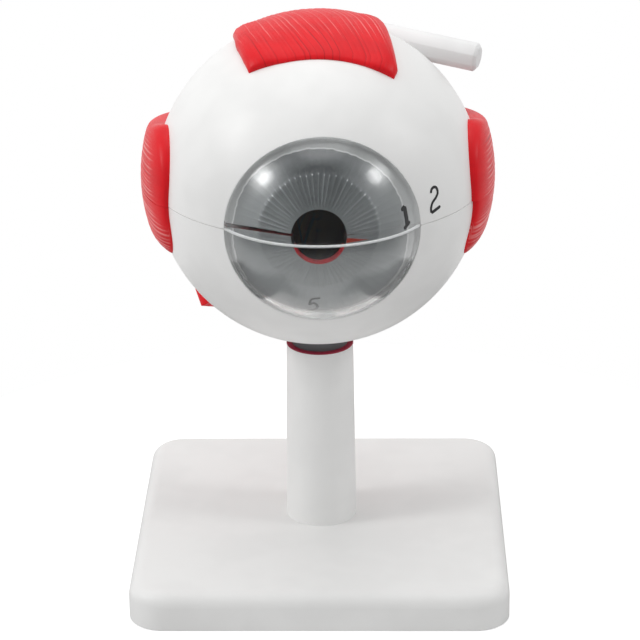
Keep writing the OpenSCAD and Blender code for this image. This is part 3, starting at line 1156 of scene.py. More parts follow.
@dataclass
class Cornea:
    """One half of the clear dome, tilted a little in the ball, with a sawn edge at the seam.

    Args:
        half: the half of the ball.
        radius: the dome's outer radius.
        centre: how far forward its centre is.
        wall: thickness of its wall.
        rim_r: radius of its rim.
        rim_back: how far forward the rim's back face is.
    """

    half: Half
    radius: float = 39.6
    centre: float = 29.8
    wall: float = 3.0
    rim_r: float = 34.4
    rim_back: float = 47.9

    def arc(self, radius: float, to_r: float, count: int) -> tuple[Array, Array]:
        """Returns the radii and distances forward of a dome's rings, from its tip out to to_r."""
        angle = np.linspace(0, math.asin(to_r / radius), count)
        return radius * np.sin(angle), self.centre + radius * np.cos(angle)

    def build(self) -> None:
        """Builds the half dome in place of its node."""
        around = circle(192)
        inner = self.radius - self.wall
        inner_r = math.sqrt(inner**2 - (self.rim_back - self.centre) ** 2)
        dome = self.arc(self.radius, self.rim_r, 44)
        hollow = self.arc(inner, inner_r, 40)
        rim = (self.rim_r, self.rim_r), (dome[1][-1], self.rim_back)
        foot = (self.rim_r, inner_r), (self.rim_back, self.rim_back)
        plan = MeshPlan()
        plan.grid(forward_rings(*dome, around), closed=True)
        plan.grid(forward_rings(*hollow, around), closed=True, flip=True)
        plan.grid(forward_rings(*rim, around), closed=True, finish=1)
        plan.grid(forward_rings(*foot, around), closed=True)
        point, normal = (TILT.inverted() @ v for v in self.half.seam_cut)
        node = f"cornea_{self.half.word}"
        piece = plan.build(f"{node}_dome", DOME, [CORNEA_CLEAR, SAWN_EDGE], [(point, normal, 1)])
        install(piece, self.half.shell, "clear_acrylic", node)


def wander(rng: np.random.Generator, around: Array, count: int, low: float, high: float) -> Array:
    """Returns a value at each angle that wanders between low and high, through count random ones."""
    return np.interp(around, np.linspace(-math.pi, math.pi, count), rng.uniform(low, high, count))


@dataclass
class Iris:
    """One half of the iris: a ridged cone, painted silver short of its edge, dark or red on its cut edges.

    Args:
        half: the half of the ball.
        pupil_r: radius of the pupil.
        throat_share: size of the pupil at the back, as a share of its size in front.
        outer_r: radius of the piece.
        front: how far forward the pupil's edge is.
        slope: how steeply the cone goes back.
        wall: thickness of the cone.
        ridge_r: radius at which the ridges end.
        ridges: number of ridges round the pupil.
        ridge_h: their height.
        softness: how high and clear they are; 1 is the full height.
        drop: how far the pupil's centre is lowered.
        squeeze: how much narrower the pupil is below.
        painted_light_below: the least painted light on the brushed paint below the middle; the lower half
            uses it.
        ajar: angle of the gap at the left, in degrees.
        ajar_x: X from which the piece stands open.
        touch: half of the gap at the seam.
        red_below: height under which the throat is red.
        spill: X and Z of the top corner of the red that has run over, and how steeply its top edge falls.
        edge_map: degrees from +X over the top, and how far out the paint goes there.
    """

    half: Half
    pupil_r: float = 9.5
    throat_share: float = 0.945
    outer_r: float = 33.55
    front: float = 57.0
    slope: float = 0.4545
    wall: float = 2.4
    ridge_r: float = 20.6
    ridges: int = 64
    ridge_h: float = 0.42
    softness: float = 1.0
    drop: float = 0.0
    squeeze: float = 0.0
    painted_light_below: float = 0.0
    ajar: float = 0.0
    ajar_x: float = 16.5
    touch: float = 0.03
    red_below: float = -3.7
    spill: tuple[float, float, float] = (9.8, -1.0, 0.245)
    edge_map: Pairs = (
        (-180, 28.9), (-165, 29.6), (-157, 30.4), (-147, 30.7), (-140, 31.9), (-123, 32.2), (-104, 32.3),
        (-83, 32.4), (-70, 32.4), (-44, 32.4), (-33, 32.2), (-23, 31.6), (-13, 30.6), (2, 29.9), (15, 29.2),
        (33, 29.1), (44, 28.8), (56, 28.4), (66, 28.1), (80, 28.1), (95, 28.1), (104, 28.1), (114, 28.2),
        (125, 28.3), (138, 28.7), (153, 28.8), (165, 28.7), (180, 28.9),
    )

    def paint_edge(self, around: Array) -> Array:
        """Follows the wavy edge of the paint.

        Args:
            around: angles from +X over the top.

        Returns:
            How far out the paint goes there.
        """
        waves = ((0.07, 23, 0), (0.07, 41, 1), (0.06, 67, 2))
        ripple = sum(size * np.sin(around * count + start) for size, count, start in waves)
        return np.interp(np.degrees(around), *np.array(self.edge_map).T) + ripple

    def shadow(self, radius: Array, around: Array) -> Array:
        """Finds where painted shade goes: most at the top, round the ends of the ridges.

        Args:
            radius: distances from the axis.
            around: angles from +X over the top.

        Returns:
            How dark the painted shade is, in 0..1.
        """
        off = np.degrees(np.abs(around - math.pi / 2))
        band = step(radius, 9, 13) * (1 - step(radius, 23, 27))
        ends = hill(radius, 22, 1.6) * (1 - step(off, 10, 32))
        sector = step(np.degrees(around), 61, 63) * (1 - step(radius, 19, 21)) * 0.12
        return np.clip(0.35 * band * (1 - step(off, 14, 55)) + 0.35 * ends + sector, 0, 0.8)

    def ridging(self, radius: Array, around: Array) -> tuple[Array, Array, Array]:
        """Draws the ridges, the fine lines beyond them and painted highlights on the crests' outer ends.

        Args:
            radius: distances from the axis, as rows by columns.
            around: angle of each column.

        Returns:
            The "ring" and "ridge" layers, and the height of the ridges in millimetres.
        """
        rng = np.random.default_rng(5 + self.half.value)
        reach = self.ridge_r + 0.25 * wander(rng, around, 65, -1, 1)
        ring = (radius - self.pupil_r) / (reach - self.pupil_r)
        phase = around * self.ridges + wander(rng, around, 40, -0.45, 0.45)
        strength = wander(rng, around, 130, 0.4, 1.0) * self.softness
        wave = 0.5 + 0.5 * np.cos(phase)
        crest = wave**2.2 * strength
        fine = (0.5 + 0.5 * np.cos(phase * 3 + 2 * np.sin(around * 9))) * 0.5
        inside = 1 - step(ring, 0.97, 1.05)
        start = step(radius, self.pupil_r + 0.2, self.pupil_r + 3)
        ridge = inside * (crest * (0.35 + 0.65 * start) + 0.12 * fine)
        ridge = ridge + (1 - inside) * (0.35 * crest + 0.35 * fine + 0.15)
        # Painted highlights on the crests' outer ends, on the upper arc only, where the light falls.
        painted_highlight = wander(rng, around, 65, 0.5, 1) * hill(ring, 0.99, 0.028) * wave**5
        ridge += 1.1 * painted_highlight * step(np.sin(around), 0.1, 0.5)
        return ring, ridge, inside * self.ridge_h * (crest * start + 0.35) + (1 - inside) * 0.1 * crest

    def line_throat(self, plan: MeshPlan, throat: Array) -> None:
        """Adds the pupil's wall: near black as painted shade, and on the lower half red at its bottom.

        Args:
            plan: the iris's plan.
            throat: the wall's front and back ring.
        """
        count = np.count_nonzero(throat[0, :, 2] < self.red_below) if self.half is Half.LOWER else 0
        if not count:
            plan.grid(throat, closed=True, finish=3)
            return
        last = np.nonzero(throat[0, :, 2] < self.red_below)[0][-1]
        turned = np.roll(throat, -last, axis=1)
        dark = throat.shape[1] - count
        plan.grid(turned[:, : dark + 2], finish=3)
        plan.grid(turned[:, dark + 1 :], finish=1)
        plan.grid(np.stack([turned[:, -1], turned[:, 0]], axis=1), finish=1)

    def build(self) -> None:
        """Builds the half iris in place of its node."""
        around = np.linspace(-math.pi, math.pi, 1152, endpoint=False)
        share = np.linspace(0, 1, 88)[:, None]
        pupil = np.stack([self.pupil_r * np.cos(around), self.pupil_r * np.sin(around) - self.drop])
        pupil[0] *= 1 - self.squeeze * step(-pupil[1], 0.3, 4)
        edge = self.outer_r * np.stack([np.cos(around), np.sin(around)])
        x, z = ((1 - share) * pupil[k] + share * edge[k] for k in (0, 1))
        radius = np.hypot(x, z)
        ring, ridge, height = self.ridging(radius, around)
        cone = self.front - self.slope * (radius - self.pupil_r)
        front = np.stack([x, -(cone + height * step(self.outer_r - radius, 0, 1)), z], axis=-1)
        # Painted light on the brushed paint: lighter towards the sides, most outside the ridges, and below on
        # the lower half.
        painted_sheen = np.abs(np.cos(around)) ** 1.5 * (0.45 + 0.55 * step(ring, 0.9, 1.1))
        corner_x, corner_z, fall = self.spill
        top = corner_z - fall * (x - corner_x)
        red = step(top - z, -0.1, 0.15) * step(z, -2.9, -2.7) * step(x, 9.0, 9.2)
        layers = {
            "ridge": ridge,
            "ring": ring,
            "bare": np.clip(0.5 + (radius - self.paint_edge(around)) / 2, 0, 1),
            "painted_sheen": np.maximum(painted_sheen, self.painted_light_below * step(-z, 0.0, 9.0)),
            "dark": self.shadow(radius, around),
            "red": red * (self.half is Half.LOWER),
        }
        plan = MeshPlan(*IRIS_SILVER.layers)
        plan.grid(front, closed=True, **layers)
        lip = pupil * self.throat_share
        lip[1] += self.drop * (self.throat_share - 1)
        behind = np.full(around.shape, self.wall - self.front)
        back_edge = self.wall - cone[-1]
        throat = np.stack([
            np.stack([pupil[0], front[0, :, 1], pupil[1]], -1), np.stack([lip[0], behind, lip[1]], -1)
        ])
        self.line_throat(plan, throat)
        back = np.stack([throat[1], np.stack([edge[0], back_edge, edge[1]], -1)])
        plan.grid(back, closed=True, finish=2)
        plan.grid(np.stack([back[1], front[-1]]), closed=True, bare=np.ones((2, around.size)))
        cuts = [(Vector((0, 0, self.touch * self.half.value)), Vector((0, 0, -self.half.value)), 2)]
        if self.ajar:
            tilt = math.radians(self.ajar)
            normal = Vector((-math.sin(tilt), 0, -math.cos(tilt)))
            cuts.append((Vector((self.ajar_x, 0, self.touch)), normal, 2))
        node = f"iris_{self.half.word}"
        piece = plan.build(f"{node}_cone", INNER, [IRIS_SILVER, EDGE_RED, SLIT_RED, THROAT_SHADE], cuts)
        install(piece, self.half.core, "iris_grey", node)

    def settle(self, points: Array) -> tuple[Array, Array]:
        """Moves points along the optic axis onto the cone and its fine ridges.

        Args:
            points: rows of points near it.

        Returns:
            The moved points and the cone's normals there.
        """
        x, _, z = points.T
        radius = np.hypot(x, z)
        forward = self.front - self.slope * (radius - self.pupil_r) + 0.1
        normal = np.stack([self.slope * x / radius, -np.ones(len(points)), self.slope * z / radius], 1)
        return np.stack([x, -forward, z], 1), normal / np.linalg.norm(normal, axis=1, keepdims=True)


# ---------------------------------------------------------------- marks


@dataclass
class Stroke:
    """One pen stroke as a thin raised line of ink on a surface.

    Args:
        knots: points near the surface, in millimetres.
        width: width of the line.
        settle: moves points onto the surface and returns them with the surface's normals.
        thickness: height of the line.
        foot: height of its underside over the surface.
    """

    knots: list[tuple[float, float, float]]
    width: float
    settle: Settle
    thickness: float = 0.06
    foot: float = 0.005

    def add_to(self, plan: MeshPlan) -> None:
        """Adds the stroke to a mesh.

        Args:
            plan: the mesh's plan.
        """
        line, normal = self.settle(smooth_through(self.knots, 10 * len(self.knots)))
        way = np.gradient(line, axis=0)
        way /= np.linalg.norm(way, axis=1, keepdims=True)
        side = np.cross(way, normal)
        side /= np.linalg.norm(side, axis=1, keepdims=True)
        length = np.concatenate([[0], np.cumsum(np.linalg.norm(np.diff(line, axis=0), axis=1))])
        end = np.minimum(length, length[-1] - length)
        half = self.width / 2 * (0.25 + 0.75 * rounding(end, self.width / 2))
        across = np.linspace(-1, 1, 7)
        spots = line[:, None, :] + side[:, None, :] * (half[:, None] * across)[..., None]
        base, up = (v.reshape(spots.shape) for v in self.settle(spots.reshape(-1, 3)))
        crown = self.thickness * (1 - 0.6 * across**4)[None, :, None]
        plan.slab(base + up * (0.02 + crown), base + up * self.foot)


def on_sphere(radius: float, forward: float = 0.0, outside: bool = True) -> Settle:
    """Makes a settle function for a sphere.

    Args:
        radius: the sphere's radius.
        forward: how far forward its centre is.
        outside: whether the normals point away from its centre.

    Returns:
        The function, which moves rows of points onto the sphere and returns them with its normals.
    """
    centre = np.array([0.0, -forward, 0.0])

    def settle(points: Array) -> tuple[Array, Array]:
        """Moves points onto the sphere.

        Args:
            points: rows of points near it.

        Returns:
            The moved points and the sphere's normals there.
        """
        way = points - centre
        way = way / np.linalg.norm(way, axis=1, keepdims=True)
        return centre + way * radius, way if outside else -way

    return settle


@dataclass
class Digits:
    """The plain numbers that tell the loose pieces apart.

    Args:
        one: knots and width of each stroke of the 1.
        two: the same for the 2.
        five: the same for the 5.
    """

    one: Strokes = (
        ([(28.6, -55.5, 10.6), (28.75, -55.8, 8.6), (29.24, -56.07, 5.8), (29.35, -56.2, 3.5)], 2.0),
        ([(27.35, -56.95, 9.4), (27.9, -56.4, 10.1), (28.6, -55.5, 10.75)], 1.4),
        ([(28.0, -57.4, 2.9), (29.3, -56.3, 3.8), (30.7, -55.1, 4.8)], 1.4),
    )
    two: Strokes = (
        (
            [
                (38.22, -45.01, 10.4), (38.5, -44.4, 11.6), (39.4, -43.6, 12.15), (40.4, -42.9, 11.6),
                (40.84, -42.9, 9.9), (40.2, -43.8, 8.4), (38.9, -45.1, 7.0), (38.3, -45.8, 5.2),
                (38.4, -45.9, 3.4),
            ],
            1.0,
        ),
        ([(38.45, -45.9, 3.35), (40.0, -44.4, 4.0), (41.85, -42.8, 4.75)], 1.15),
    )
    five: Strokes = (
        ([(0.3, -49.5, -26.0), (-1.6, -49.4, -26.2), (-3.05, -49.25, -26.6)], 0.8),
        (
            [
                (-3.05, -49, -26.6), (-3.5, -48.1, -28.9), (-2.2, -48.5, -28.3), (-0.95, -48, -29.2),
                (-1.0, -47.3, -30.8), (-2.8, -46.8, -31.9), (-4.6, -47, -31.5),
            ],
            0.9,
        ),
    )

    def build(self) -> None:
        """Builds the 1 on the dome, the 2 on the ball and the 5 on the iris."""
        dome, lower = Cornea(Half.UPPER), Iris(Half.LOWER)
        on_dome = on_sphere(dome.radius, dome.centre)
        shell, core = Half.UPPER.shell, Half.LOWER.core
        for digit, strokes, settle, place, ink, body, slot in (
            (1, self.one, on_dome, DOME, BLACK_INK, shell, "sclera_white"),
            (2, self.two, on_sphere(BALL_R), EYE, BLACK_INK, shell, "sclera_white"),
            (5, self.five, lower.settle, INNER, GREY_INK, core, "iris_grey"),
        ):
            plan = MeshPlan()
            for knots, width in strokes:
                Stroke(knots, width, settle).add_to(plan)
            install(plan.build(f"digit_{digit}_mark", place, [ink]), body, slot)


# ---------------------------------------------------------------- nerve and the inside of the back


@dataclass
class OpticNerve:
    """One half of the optic nerve's stub: a creased sheath round bundles of fibres and two vessels.

    Args:
        half: the half of the ball.
        azimuth: turn of its axis from straight back, in degrees.
        radius: its radius.
        tip: distance from the ball's centre to its end.
        core_r: radius of the bundles.
        face: distance from the ball's centre to the bundles' face.
        cell: width of a bundle.
        bare_r: radius of the plain middle, where the vessels are.
        calm_from: distance from the ball's centre from which the creases are half as deep.
        stops: distance from the ball's centre and flare of each ring of the sheath.
        dots: radius and distance from the ball's centre of each ring of a vessel's end.
        vessels: name, finish and distance from the axis of each vessel.
    """

    half: Half
    azimuth: float = -15.0
    radius: float = 11.0
    tip: float = 69.2
    core_r: float = 8.6
    face: float = 68.6
    cell: float = 1.25
    bare_r: float = 2.2
    calm_from: float = 68.9
    stops: Pairs = (
        (58.9, 1.6), (59.6, 0.9), (61.0, 0.25), (63.5, 0.0), (66.5, -0.1), (68.3, 0.0), (68.95, -0.35),
        (69.2, -1.0),
    )
    dots: Pairs = ((0.85, 68.5), (0.8, 68.9), (0.55, 69.05), (0.0, 69.1))
    vessels: tuple[tuple[str, Finish, float], ...] = (
        ("artery", VESSEL_RED, 1.05), ("vein", VESSEL_BLUE, -1.05),
    )

    def bundles(self, x: Array, y: Array) -> Array:
        """Draws the bundles of fibres, packed like cells of a comb.

        Args:
            x: places across the face.
            y: the same, at right angles.

        Returns:
            Their height at each place, in 0..1.
        """
        row = y / (self.cell * 0.866)
        comb = (np.cos(FULL_TURN * x / self.cell + math.pi * np.round(row)) * np.cos(math.pi * row)) ** 2
        return np.where(np.hypot(x, y) < self.bare_r, 0.2, comb)

    def build(self) -> None:
        """Builds the half stub in place of its node."""
        around = circle(240)
        turn = Matrix.Rotation(math.radians(self.azimuth), 4, "Z")
        place = EYE @ turn @ Matrix.Rotation(math.radians(-90), 4, "X")
        crease = 0.12 * np.sin(around * 17 + np.sin(around * 3)) + 0.07 * np.sin(around * 31)
        rows = []
        for height, flare in self.stops:
            radius = self.radius - 0.3 + flare * 0.6 + crease * (1 if height < self.calm_from else 0.5)
            rows.append(ring_at(around, radius, height))
        inner = self.core_r * np.linspace(1, 0, 60)[:, None]
        x, y = inner * np.cos(around), inner * np.sin(around)
        bundle = self.bundles(x, y)
        face = np.stack([x, y, self.face + 0.3 * bundle], -1)
        lip = ring_at(around, self.core_r * 1.02, self.tip - 0.05)
        plan = MeshPlan("fibre")
        plan.grid(np.stack([*rows, lip]), closed=True)
        fibre = np.concatenate([np.zeros((1, 240)), bundle])
        plan.grid(np.concatenate([lip[None], face]), closed=True, finish=1, fibre=fibre)
        foot = rows[0] * np.array([0.3, 0.3, 1.0])
        plan.grid(np.stack([foot, rows[0]]), closed=True)
        plan.grid(np.stack([foot, foot * np.array([0, 0, 1.0])]), closed=True)
        flat = place.inverted() @ EYE
        point, normal = self.half.seam_cut
        cut = (flat @ point, (flat.to_3x3() @ normal).normalized(), 0)
        node = f"optic_nerve_{self.half.word}"
        piece = plan.build(f"{node}_stub", place, [NERVE_CREAM, NERVE_BUNDLES], [cut])
        install(piece, self.half.shell, "nerve_cream", node)
        small = circle(28)
        for name, finish, offset in self.vessels:
            dot = MeshPlan()
            rings = np.stack([ring_at(small, r, height) for r, height in self.dots])
            dot.grid(rings + np.array([offset, 0.0, 0.0]), closed=True)
            install(dot.build(f"{node}_{name}", place, [finish], [cut]), self.half.shell, "nerve_cream")


@dataclass
class Fundus:
    """What is painted on one half of the retina: vessels, the optic disc and the macula.

    Args:
        half: the half of the ball.
        surface_r: radius of the retina's inside.
        disc_azimuth: degrees from straight back to the optic disc.
        disc_r: the disc's radius.
        macula_azimuth: degrees from straight back to the macula.
        macula_r: its radius.
        shape: share of a spot's radius and of its thickness at each of its rings.
    """

    half: Half
    surface_r: float = 52.02
    disc_azimuth: float = 15.0
    disc_r: float = 4.2
    macula_azimuth: float = -1.5
    macula_r: float = 3.4
    shape: Pairs = ((1.0, 0.0), (0.97, 1.0), (0.7, 1.0), (0.3, 0.9), (0.0, 0.9))

    def direction(self, azimuth: float, height: float) -> tuple[float, float, float]:
        """Finds a point on the retina.

        Args:
            azimuth: degrees from straight back.
            height: degrees above the seam.

        Returns:
            The point.
        """
        a, h = math.radians(azimuth), math.radians(height)
        way = (math.sin(a) * math.cos(h), math.cos(a) * math.cos(h), math.sin(h))
        return tuple(self.surface_r * v for v in way)

    def patch(self, name: str, azimuth: float, radius: float, finish: Finish, thickness: float) -> None:
        """Adds half of a round painted spot on the seam.

        Args:
            name: the spot's name.
            azimuth: degrees from straight back.
            radius: its radius.
            finish: its paint.
            thickness: how thick the paint is.
        """
        ring = circle(72)
        ripple = 1 + 0.03 * np.sin(ring * 5)
        up = Vector((0, 0, 1))
        centre = Vector(self.direction(azimuth, 0)).normalized()
        side = up.cross(centre).normalized()
        rows = []
        for share, lift in self.shape:
            row = []
            for a, wave in zip(ring, ripple):
                reach = radius * share * wave
                way = centre * self.surface_r + side * (reach * math.cos(a)) + up * (reach * math.sin(a))
                row.append(way.normalized() * (self.surface_r + 0.05 - thickness * lift))
            rows.append(row)
        plan = MeshPlan()
        plan.grid(np.array(rows), closed=True)
        made = plan.build(f"{name}_{self.half.word}", INNER, [finish], [(*self.half.seam_cut, 0)])
        install(made, self.half.core, "retina_orange")

    def vessels(self, name: str, finish: Finish, seed: int, width: float, bend: float) -> None:
        """Adds the branching vessels of one colour.

        Args:
            name: their name.
            finish: their paint.
            seed: seed of their branches.
            width: width of the main branches.
            bend: how much farther they turn, and how much higher they start.
        """
        rng = np.random.default_rng(seed)
        settle = on_sphere(self.surface_r, outside=False)
        plan = MeshPlan()
        up = self.half.value

        def branch(
            azimuth: float, height: float, heading: float, reach: float, size: float, depth: int
        ) -> None:
            """Grows one branch and its side branches.

            Args:
                azimuth: degrees from straight back to its start.
                height: degrees from the seam to its start.
                heading: the direction that it sets out in.
                reach: its length in degrees.
                size: its width.
                depth: how many times side branches may fork.
            """
            knots = [self.direction(azimuth, height * up)]
            for _ in range(5):
                azimuth += math.cos(heading) * reach / 5
                height = max(height + math.sin(heading) * reach / 5, 1.6)
                heading += rng.uniform(-0.28, 0.28)
                knots.append(self.direction(azimuth, height * up))
                if depth and rng.random() < 0.75:
                    turn = rng.choice([-1, 1]) * rng.uniform(0.45, 0.95)
                    length = reach * rng.uniform(0.4, 0.65)
                    branch(azimuth, height, heading + turn, length, size * 0.62, depth - 1)
            Stroke(knots, size, settle, 0.12).add_to(plan)

        for heading, reach in ((0.62, 62), (1.25, 58), (math.pi - 1.2 - bend, 60), (math.pi - 0.72, 70)):
            branch(self.disc_azimuth + rng.uniform(-1, 1), 2.2 + bend, heading + bend, reach, width, 2)
        made = plan.build(f"retinal_{name}_{self.half.word}", INNER, [finish])
        install(made, self.half.core, "retina_orange")

    def build(self) -> None:
        """Adds all of it."""
        self.vessels("veins", VESSEL_BLUE, 61 + self.half.value, 1.15, 0.16)
        self.vessels("arteries", VESSEL_RED, 71 + self.half.value, 0.85, 0.0)
        self.patch("optic_disc", self.disc_azimuth, self.disc_r, DISC_YELLOW, 0.22)
        self.patch("macula", self.macula_azimuth, self.macula_r, MACULA_BROWN, 0.1)


# ---------------------------------------------------------------- carried-over solids


@dataclass
class Carried:
    """The CAD solids whose shape is right: each gets its finish.

    Args:
        nodes: the frame's solids by name.
        finishes: the finish of each of them.
    """

    nodes: dict[str, bpy.types.Object]
    finishes: tuple[tuple[str, Finish], ...] = (
        ("base_plate", SATIN_WHITE), ("post", POST_WHITE), ("post_insert", TURNED_BRASS),
        ("post_screw", ZINC_STEEL), ("post_washer", ZINC_STEEL), ("rim_washer", WASHER_RED),
        ("neck_spigot", NECK_NYLON), ("neck_screw", ZINC_STEEL), ("locating_pegs", ZINC_STEEL),
        ("sclera_upper", SCLERA_WHITE), ("sclera_lower", SCLERA_WHITE),
        ("choroid_upper", CHOROID_BROWN), ("choroid_lower", CHOROID_BROWN),
        ("retina_upper", RETINA_ORANGE), ("retina_lower", RETINA_ORANGE),
        ("ciliary_body_upper", CILIARY_BROWN), ("ciliary_body_lower", CILIARY_BROWN),
        ("vitreous_front", VITREOUS_SHADE_TINTED), ("vitreous_back", VITREOUS_SHADE_TINTED), ("lens", LENS_SHADE_TINTED),
    )

    def build(self) -> None:
        """Assigns each solid's material."""
        for name, finish in self.finishes:
            for spot in self.nodes[name].material_slots:
                spot.material = finish.material()
            LOG.info("%s: %s", name, finish.name)


@dataclass
class SeamLip:
    """The lower shell's moulded lip, which keeps light out of the seam and makes it a faint line.

    Args:
        outer_r: its outer radius.
        inner_r: its inner radius.
        half_h: half of its height.
        ends: where it starts and ends, in degrees from +X over the back.
    """

    outer_r: float = 59.65
    inner_r: float = 58.6
    half_h: float = 0.13
    ends: tuple[float, float] = (-54.0, 234.0)

    def build(self) -> None:
        """Builds the lip."""
        angle = np.radians(np.linspace(*self.ends, 289))
        plan = MeshPlan()
        plan.slab(
            *(
                np.stack([ring_at(angle, radius, z) for z in (-self.half_h, self.half_h)])
                for radius in (self.outer_r, self.inner_r)
            )
        )
        install(plan.build("seam_lip", EYE, [SCLERA_WHITE]), Half.LOWER.shell, "sclera_white")


# ---------------------------------------------------------------- studio


@dataclass(frozen=True)
class Lamp:
    """A round softbox that faces a point on the object.

    Args:
        name: the lamp's name.
        place: where it is, in metres.
        aim: what it faces.
        size: its diameter in metres.
        power: its power in watts.
    """

    name: str
    place: tuple[float, float, float]
    aim: tuple[float, float, float]
    size: float
    power: float

    def build(self) -> None:
        """Adds the lamp."""
        data = bpy.data.lights.new(self.name, "AREA")
        data.shape, data.size, data.energy = "DISK", self.size, self.power
        lamp = put(self.name, data)
        lamp.location = self.place
        lamp.rotation_euler = (Vector(self.aim) - Vector(self.place)).to_track_quat("-Z", "Y").to_euler()


@dataclass
class Studio:
    """The camera, the pale floor and the soft light.

    Args:
        camera_at: where the camera is, in metres.
        yaw: its turn to the right from +Y, in degrees.
        pitch: its turn down, in degrees.
        roll: its turn about its own axis, in degrees.
        lens: its focal length in millimetres.
        sensor: width of its sensor in millimetres.
        fill: strength of the world's light.
        front_dim: how bright gloss shows the room in front of the object; 1 is white.
        low_glow: the same for the room far below.
        card_r: radius of the floor's card in metres.
        card_glow: light that the card gives off where it is seen.
        near_line: slope, and start in metres, of the edge beside the base of the painted shadow that gloss
            sees on the floor.
        far_line: the same for its edge farther out.
        soft: half of the width of those edges, in metres.
        lamps: two large softboxes and one overhead, and two small bright ones that the dome reflects.
    """

    camera_at: tuple[float, float, float] = (0.019518, -0.902091, 0.464453)
    yaw: float = -1.2318
    pitch: float = 22.3358
    roll: float = -0.5913
    lens: float = 146.08
    sensor: float = 36.0
    fill: float = 0.56
    front_dim: float = 0.07
    low_glow: float = 0.75
    card_r: float = 0.2
    card_glow: float = 0.5
    near_line: tuple[float, float] = (-0.95, -0.045)
    far_line: tuple[float, float] = (1.17, -0.24)
    soft: float = 0.012
    lamps: tuple[Lamp, ...] = (
        Lamp("softbox_left", (-1.05, -0.273, 0.89), HEART, 0.72, 2.1),
        Lamp("softbox_right", (1.05, -0.22, 0.905), HEART, 0.72, 0.7),
        Lamp("softbox_top", (0.0, 0.15, 1.4), (0, 0, 0.1), 1.2, 4.45),
        Lamp("glint_left", (-1.017, -0.264, 0.866), HEART, 0.3, 3.0),
        Lamp("glint_right", (1.016, -0.213, 0.881), HEART, 0.3, 2.4),
    )

    def camera(self) -> None:
        """Adds the camera where the photograph was taken from."""
        yaw, pitch, roll = (math.radians(v) for v in (self.yaw, self.pitch, self.roll))
        ahead = Vector((math.sin(yaw) * math.cos(pitch), math.cos(yaw) * math.cos(pitch), -math.sin(pitch)))
        right = Vector((math.cos(yaw), -math.sin(yaw), 0))
        up = right.cross(ahead)
        turned = right * math.cos(roll) + up * math.sin(roll)
        up = up * math.cos(roll) - right * math.sin(roll)
        data = bpy.data.cameras.new("camera")
        data.lens, data.sensor_width = self.lens, self.sensor
        data.clip_start, data.clip_end = 0.05, 30.0
        camera = put("camera", data)
        turn = Matrix((turned, up, -ahead)).transposed().to_4x4()
        camera.matrix_world = Matrix.Translation(self.camera_at) @ turn
        bpy.context.scene.camera = camera

    def seen(self, tree: Tree) -> Node:
        """Finds the rays that show the surroundings: from the camera, from gloss and through clear parts.

        Args:
            tree: the node tree.

        Returns:
            1 for those rays, and 0 for rays that light a dull surface.
        """
        path = add(tree, "LightPath").outputs
        seen = path["Is Camera Ray"]
        for other in ("Is Glossy Ray", "Is Transmission Ray"):
            seen = add(tree, "Math", {0: seen, 1: path[other]}, operation="MAXIMUM")
        direct = add(tree, "Math", {0: path["Diffuse Depth"], 1: 0.5}, operation="LESS_THAN")
        return add(tree, "Math", {0: seen, 1: direct}, operation="MULTIPLY")

    def painted_shadow_wedges(self, tree: Tree) -> Node:
        """Finds where the floor gets painted shadow that only gloss sees: behind and beside the base, which
        the dome shows as a dark V.

        Args:
            tree: the node tree.

        Returns:
            1 there, and 0 in front.
        """
        place = add(tree, "NewGeometry").outputs["Position"]
        across, back, _ = add(tree, "SeparateXYZ", {0: place}).outputs
        aside = add(tree, "Math", {0: across}, operation="ABSOLUTE")
        near, far = (
            add(tree, "Math", {0: aside, 1: slope, 2: start}, operation="MULTIPLY_ADD")
            for slope, start in (self.near_line, self.far_line)
        )
        line = add(tree, "Math", {0: near, 1: far}, operation="MAXIMUM")
        past = add(tree, "Math", {0: back, 1: line}, operation="SUBTRACT")
        return add(tree, "MapRange", {0: past, 1: -self.soft, 2: self.soft}, **SMOOTH)

    def floor(self) -> None:
        """Adds the table's white card: white to the eye, with the object's shadow kept, and to gloss white
        with a painted dark V of shadow.
        """
        ring = ring_at(circle(96), self.card_r, 0.0).tolist()
        mesh = bpy.data.meshes.new("floor")
        mesh.from_pydata(ring, [], [tuple(range(len(ring)))])
        made = put("floor", mesh)
        made.location = (0, 0, -0.2 * MM)
        card = bpy.data.materials.new("white_card")
        card.use_nodes = True
        tree = card.node_tree
        tree.nodes.clear()
        grain = add(tree, "Mix", {0: speckle(tree, 3.0), 6: "DFDFDF", 7: "E6E6E6"}, **COLOURS)
        matt = add(tree, "BsdfDiffuse", {"Color": grain})
        glow = add(tree, "Emission", {"Color": "FFFFFF", "Strength": self.card_glow})
        white = add(tree, "AddShader", {0: matt, 1: glow})
        dull = add(tree, "BsdfDiffuse", {"Color": "E8E8E8"})
        # The gloss-only floor tone carries a painted shadow: grey behind and beside the base.
        tone = add(tree, "Mix", {0: self.painted_shadow_wedges(tree), 6: "FFFFFF", 7: "7C7C7C"}, **COLOURS)
        painted_reflection = add(tree, "Emission", {"Color": tone, "Strength": 1.0})
        shown = add(tree, "MixShader", {0: self.seen(tree), 1: dull, 2: white})
        gloss = add(tree, "LightPath").outputs["Is Glossy Ray"]
        add(tree, "OutputMaterial", {"Surface": add(tree, "MixShader", {0: gloss, 1: shown, 2: painted_reflection})})
        mesh.materials.append(card)

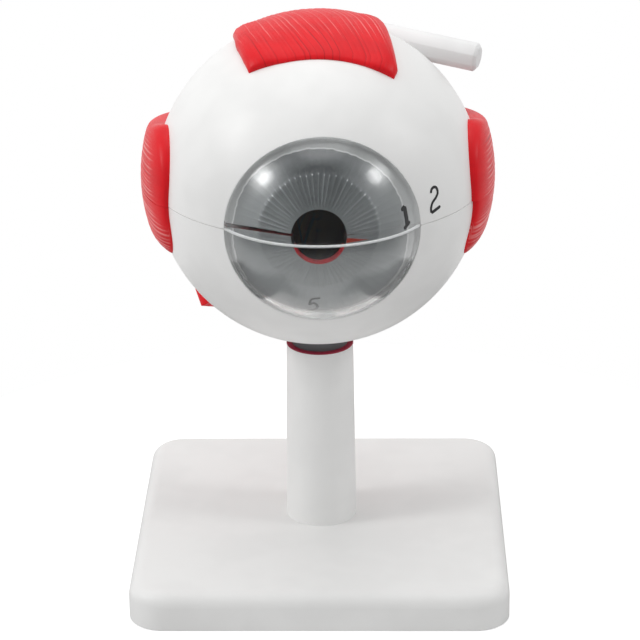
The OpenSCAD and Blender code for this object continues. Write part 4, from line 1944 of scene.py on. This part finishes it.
    def world(self) -> None:
        """Adds the surroundings: white to the camera, grey as a light, and in gloss dim before the object."""
        world = bpy.data.worlds.new("studio")
        bpy.context.scene.world = world
        world.use_nodes = True
        tree = world.node_tree
        tree.nodes.clear()
        way = add(tree, "SeparateXYZ", {0: add(tree, "TexCoord").outputs["Generated"]}).outputs
        low, high = self.fill * 0.8, self.fill * 1.06
        back, below, height, side = (
            add(tree, "MapRange", {0: way[axis], 1: start, 2: end, 3: first, 4: last}, **SMOOTH)
            for axis, start, end, first, last in (
                ("Y", -0.35, 0.35, self.front_dim, 1.0),
                ("Z", -0.52, -0.42, self.low_glow, 0.0),
                ("Z", -0.6, 0.9, low, high),
                ("X", -1.0, 1.0, 1.14, 0.88),
            )
        )
        room = add(tree, "Math", {0: back, 1: below}, operation="MAXIMUM")
        soft = add(tree, "Math", {0: height, 1: side}, operation="MULTIPLY")
        room, soft = (add(tree, "CombineColor", {0: tone, 1: tone, 2: tone}) for tone in (room, soft))
        camera = add(tree, "LightPath").outputs["Is Camera Ray"]
        shown = add(tree, "Mix", {0: camera, 6: room, 7: "FFFFFF"}, **COLOURS)
        shade = add(tree, "Mix", {0: self.seen(tree), 6: soft, 7: shown}, **COLOURS)
        add(tree, "OutputWorld", {"Surface": add(tree, "Background", {"Color": shade, "Strength": 1.0})})

    def build(self) -> None:
        """Adds everything but the object."""
        bpy.context.scene.view_settings.view_transform = "Standard"
        self.camera()
        self.floor()
        self.world()
        for lamp in self.lamps:
            lamp.build()


def main() -> None:
    """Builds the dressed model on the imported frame."""
    logging.basicConfig(level=logging.INFO, format="%(message)s")
    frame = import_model()
    Studio().build()
    Carried(frame["nodes"]).build()
    side_bulge = Bulge(62.6, (2.6, 4.0, 2.0))
    TopRectus(Bulge(62.5, (0.3, 1.2, 0.3))).build()
    for side in Side:
        SideRectus(side, Half.UPPER, side_bulge, corner_r=20.0).build()
    SideRectus(Side.LATERAL, Half.LOWER, side_bulge, edge_z=22.5, back_z=14.5).build()
    SideRectus(
        Side.MEDIAL, Half.LOWER, side_bulge, corner_r=10.0, edge_z=23.5, back_z=15.5, setback=1.3
    ).build()
    BottomRectus(Bulge(61.6, (0.0, 2.0, -0.6))).build()
    LowerOblique().build()
    ObliqueTendon().build()
    SeamLip().build()
    for half in Half:
        Cornea(half).build()
        OpticNerve(half).build()
        Fundus(half).build()
    Iris(Half.UPPER, ajar=1.75, softness=0.8).build()
    Iris(Half.LOWER, throat_share=0.92, drop=1.0, squeeze=0.033, painted_light_below=0.88, softness=0.5).build()
    Digits().build()


if __name__ == "__main__":
    main()
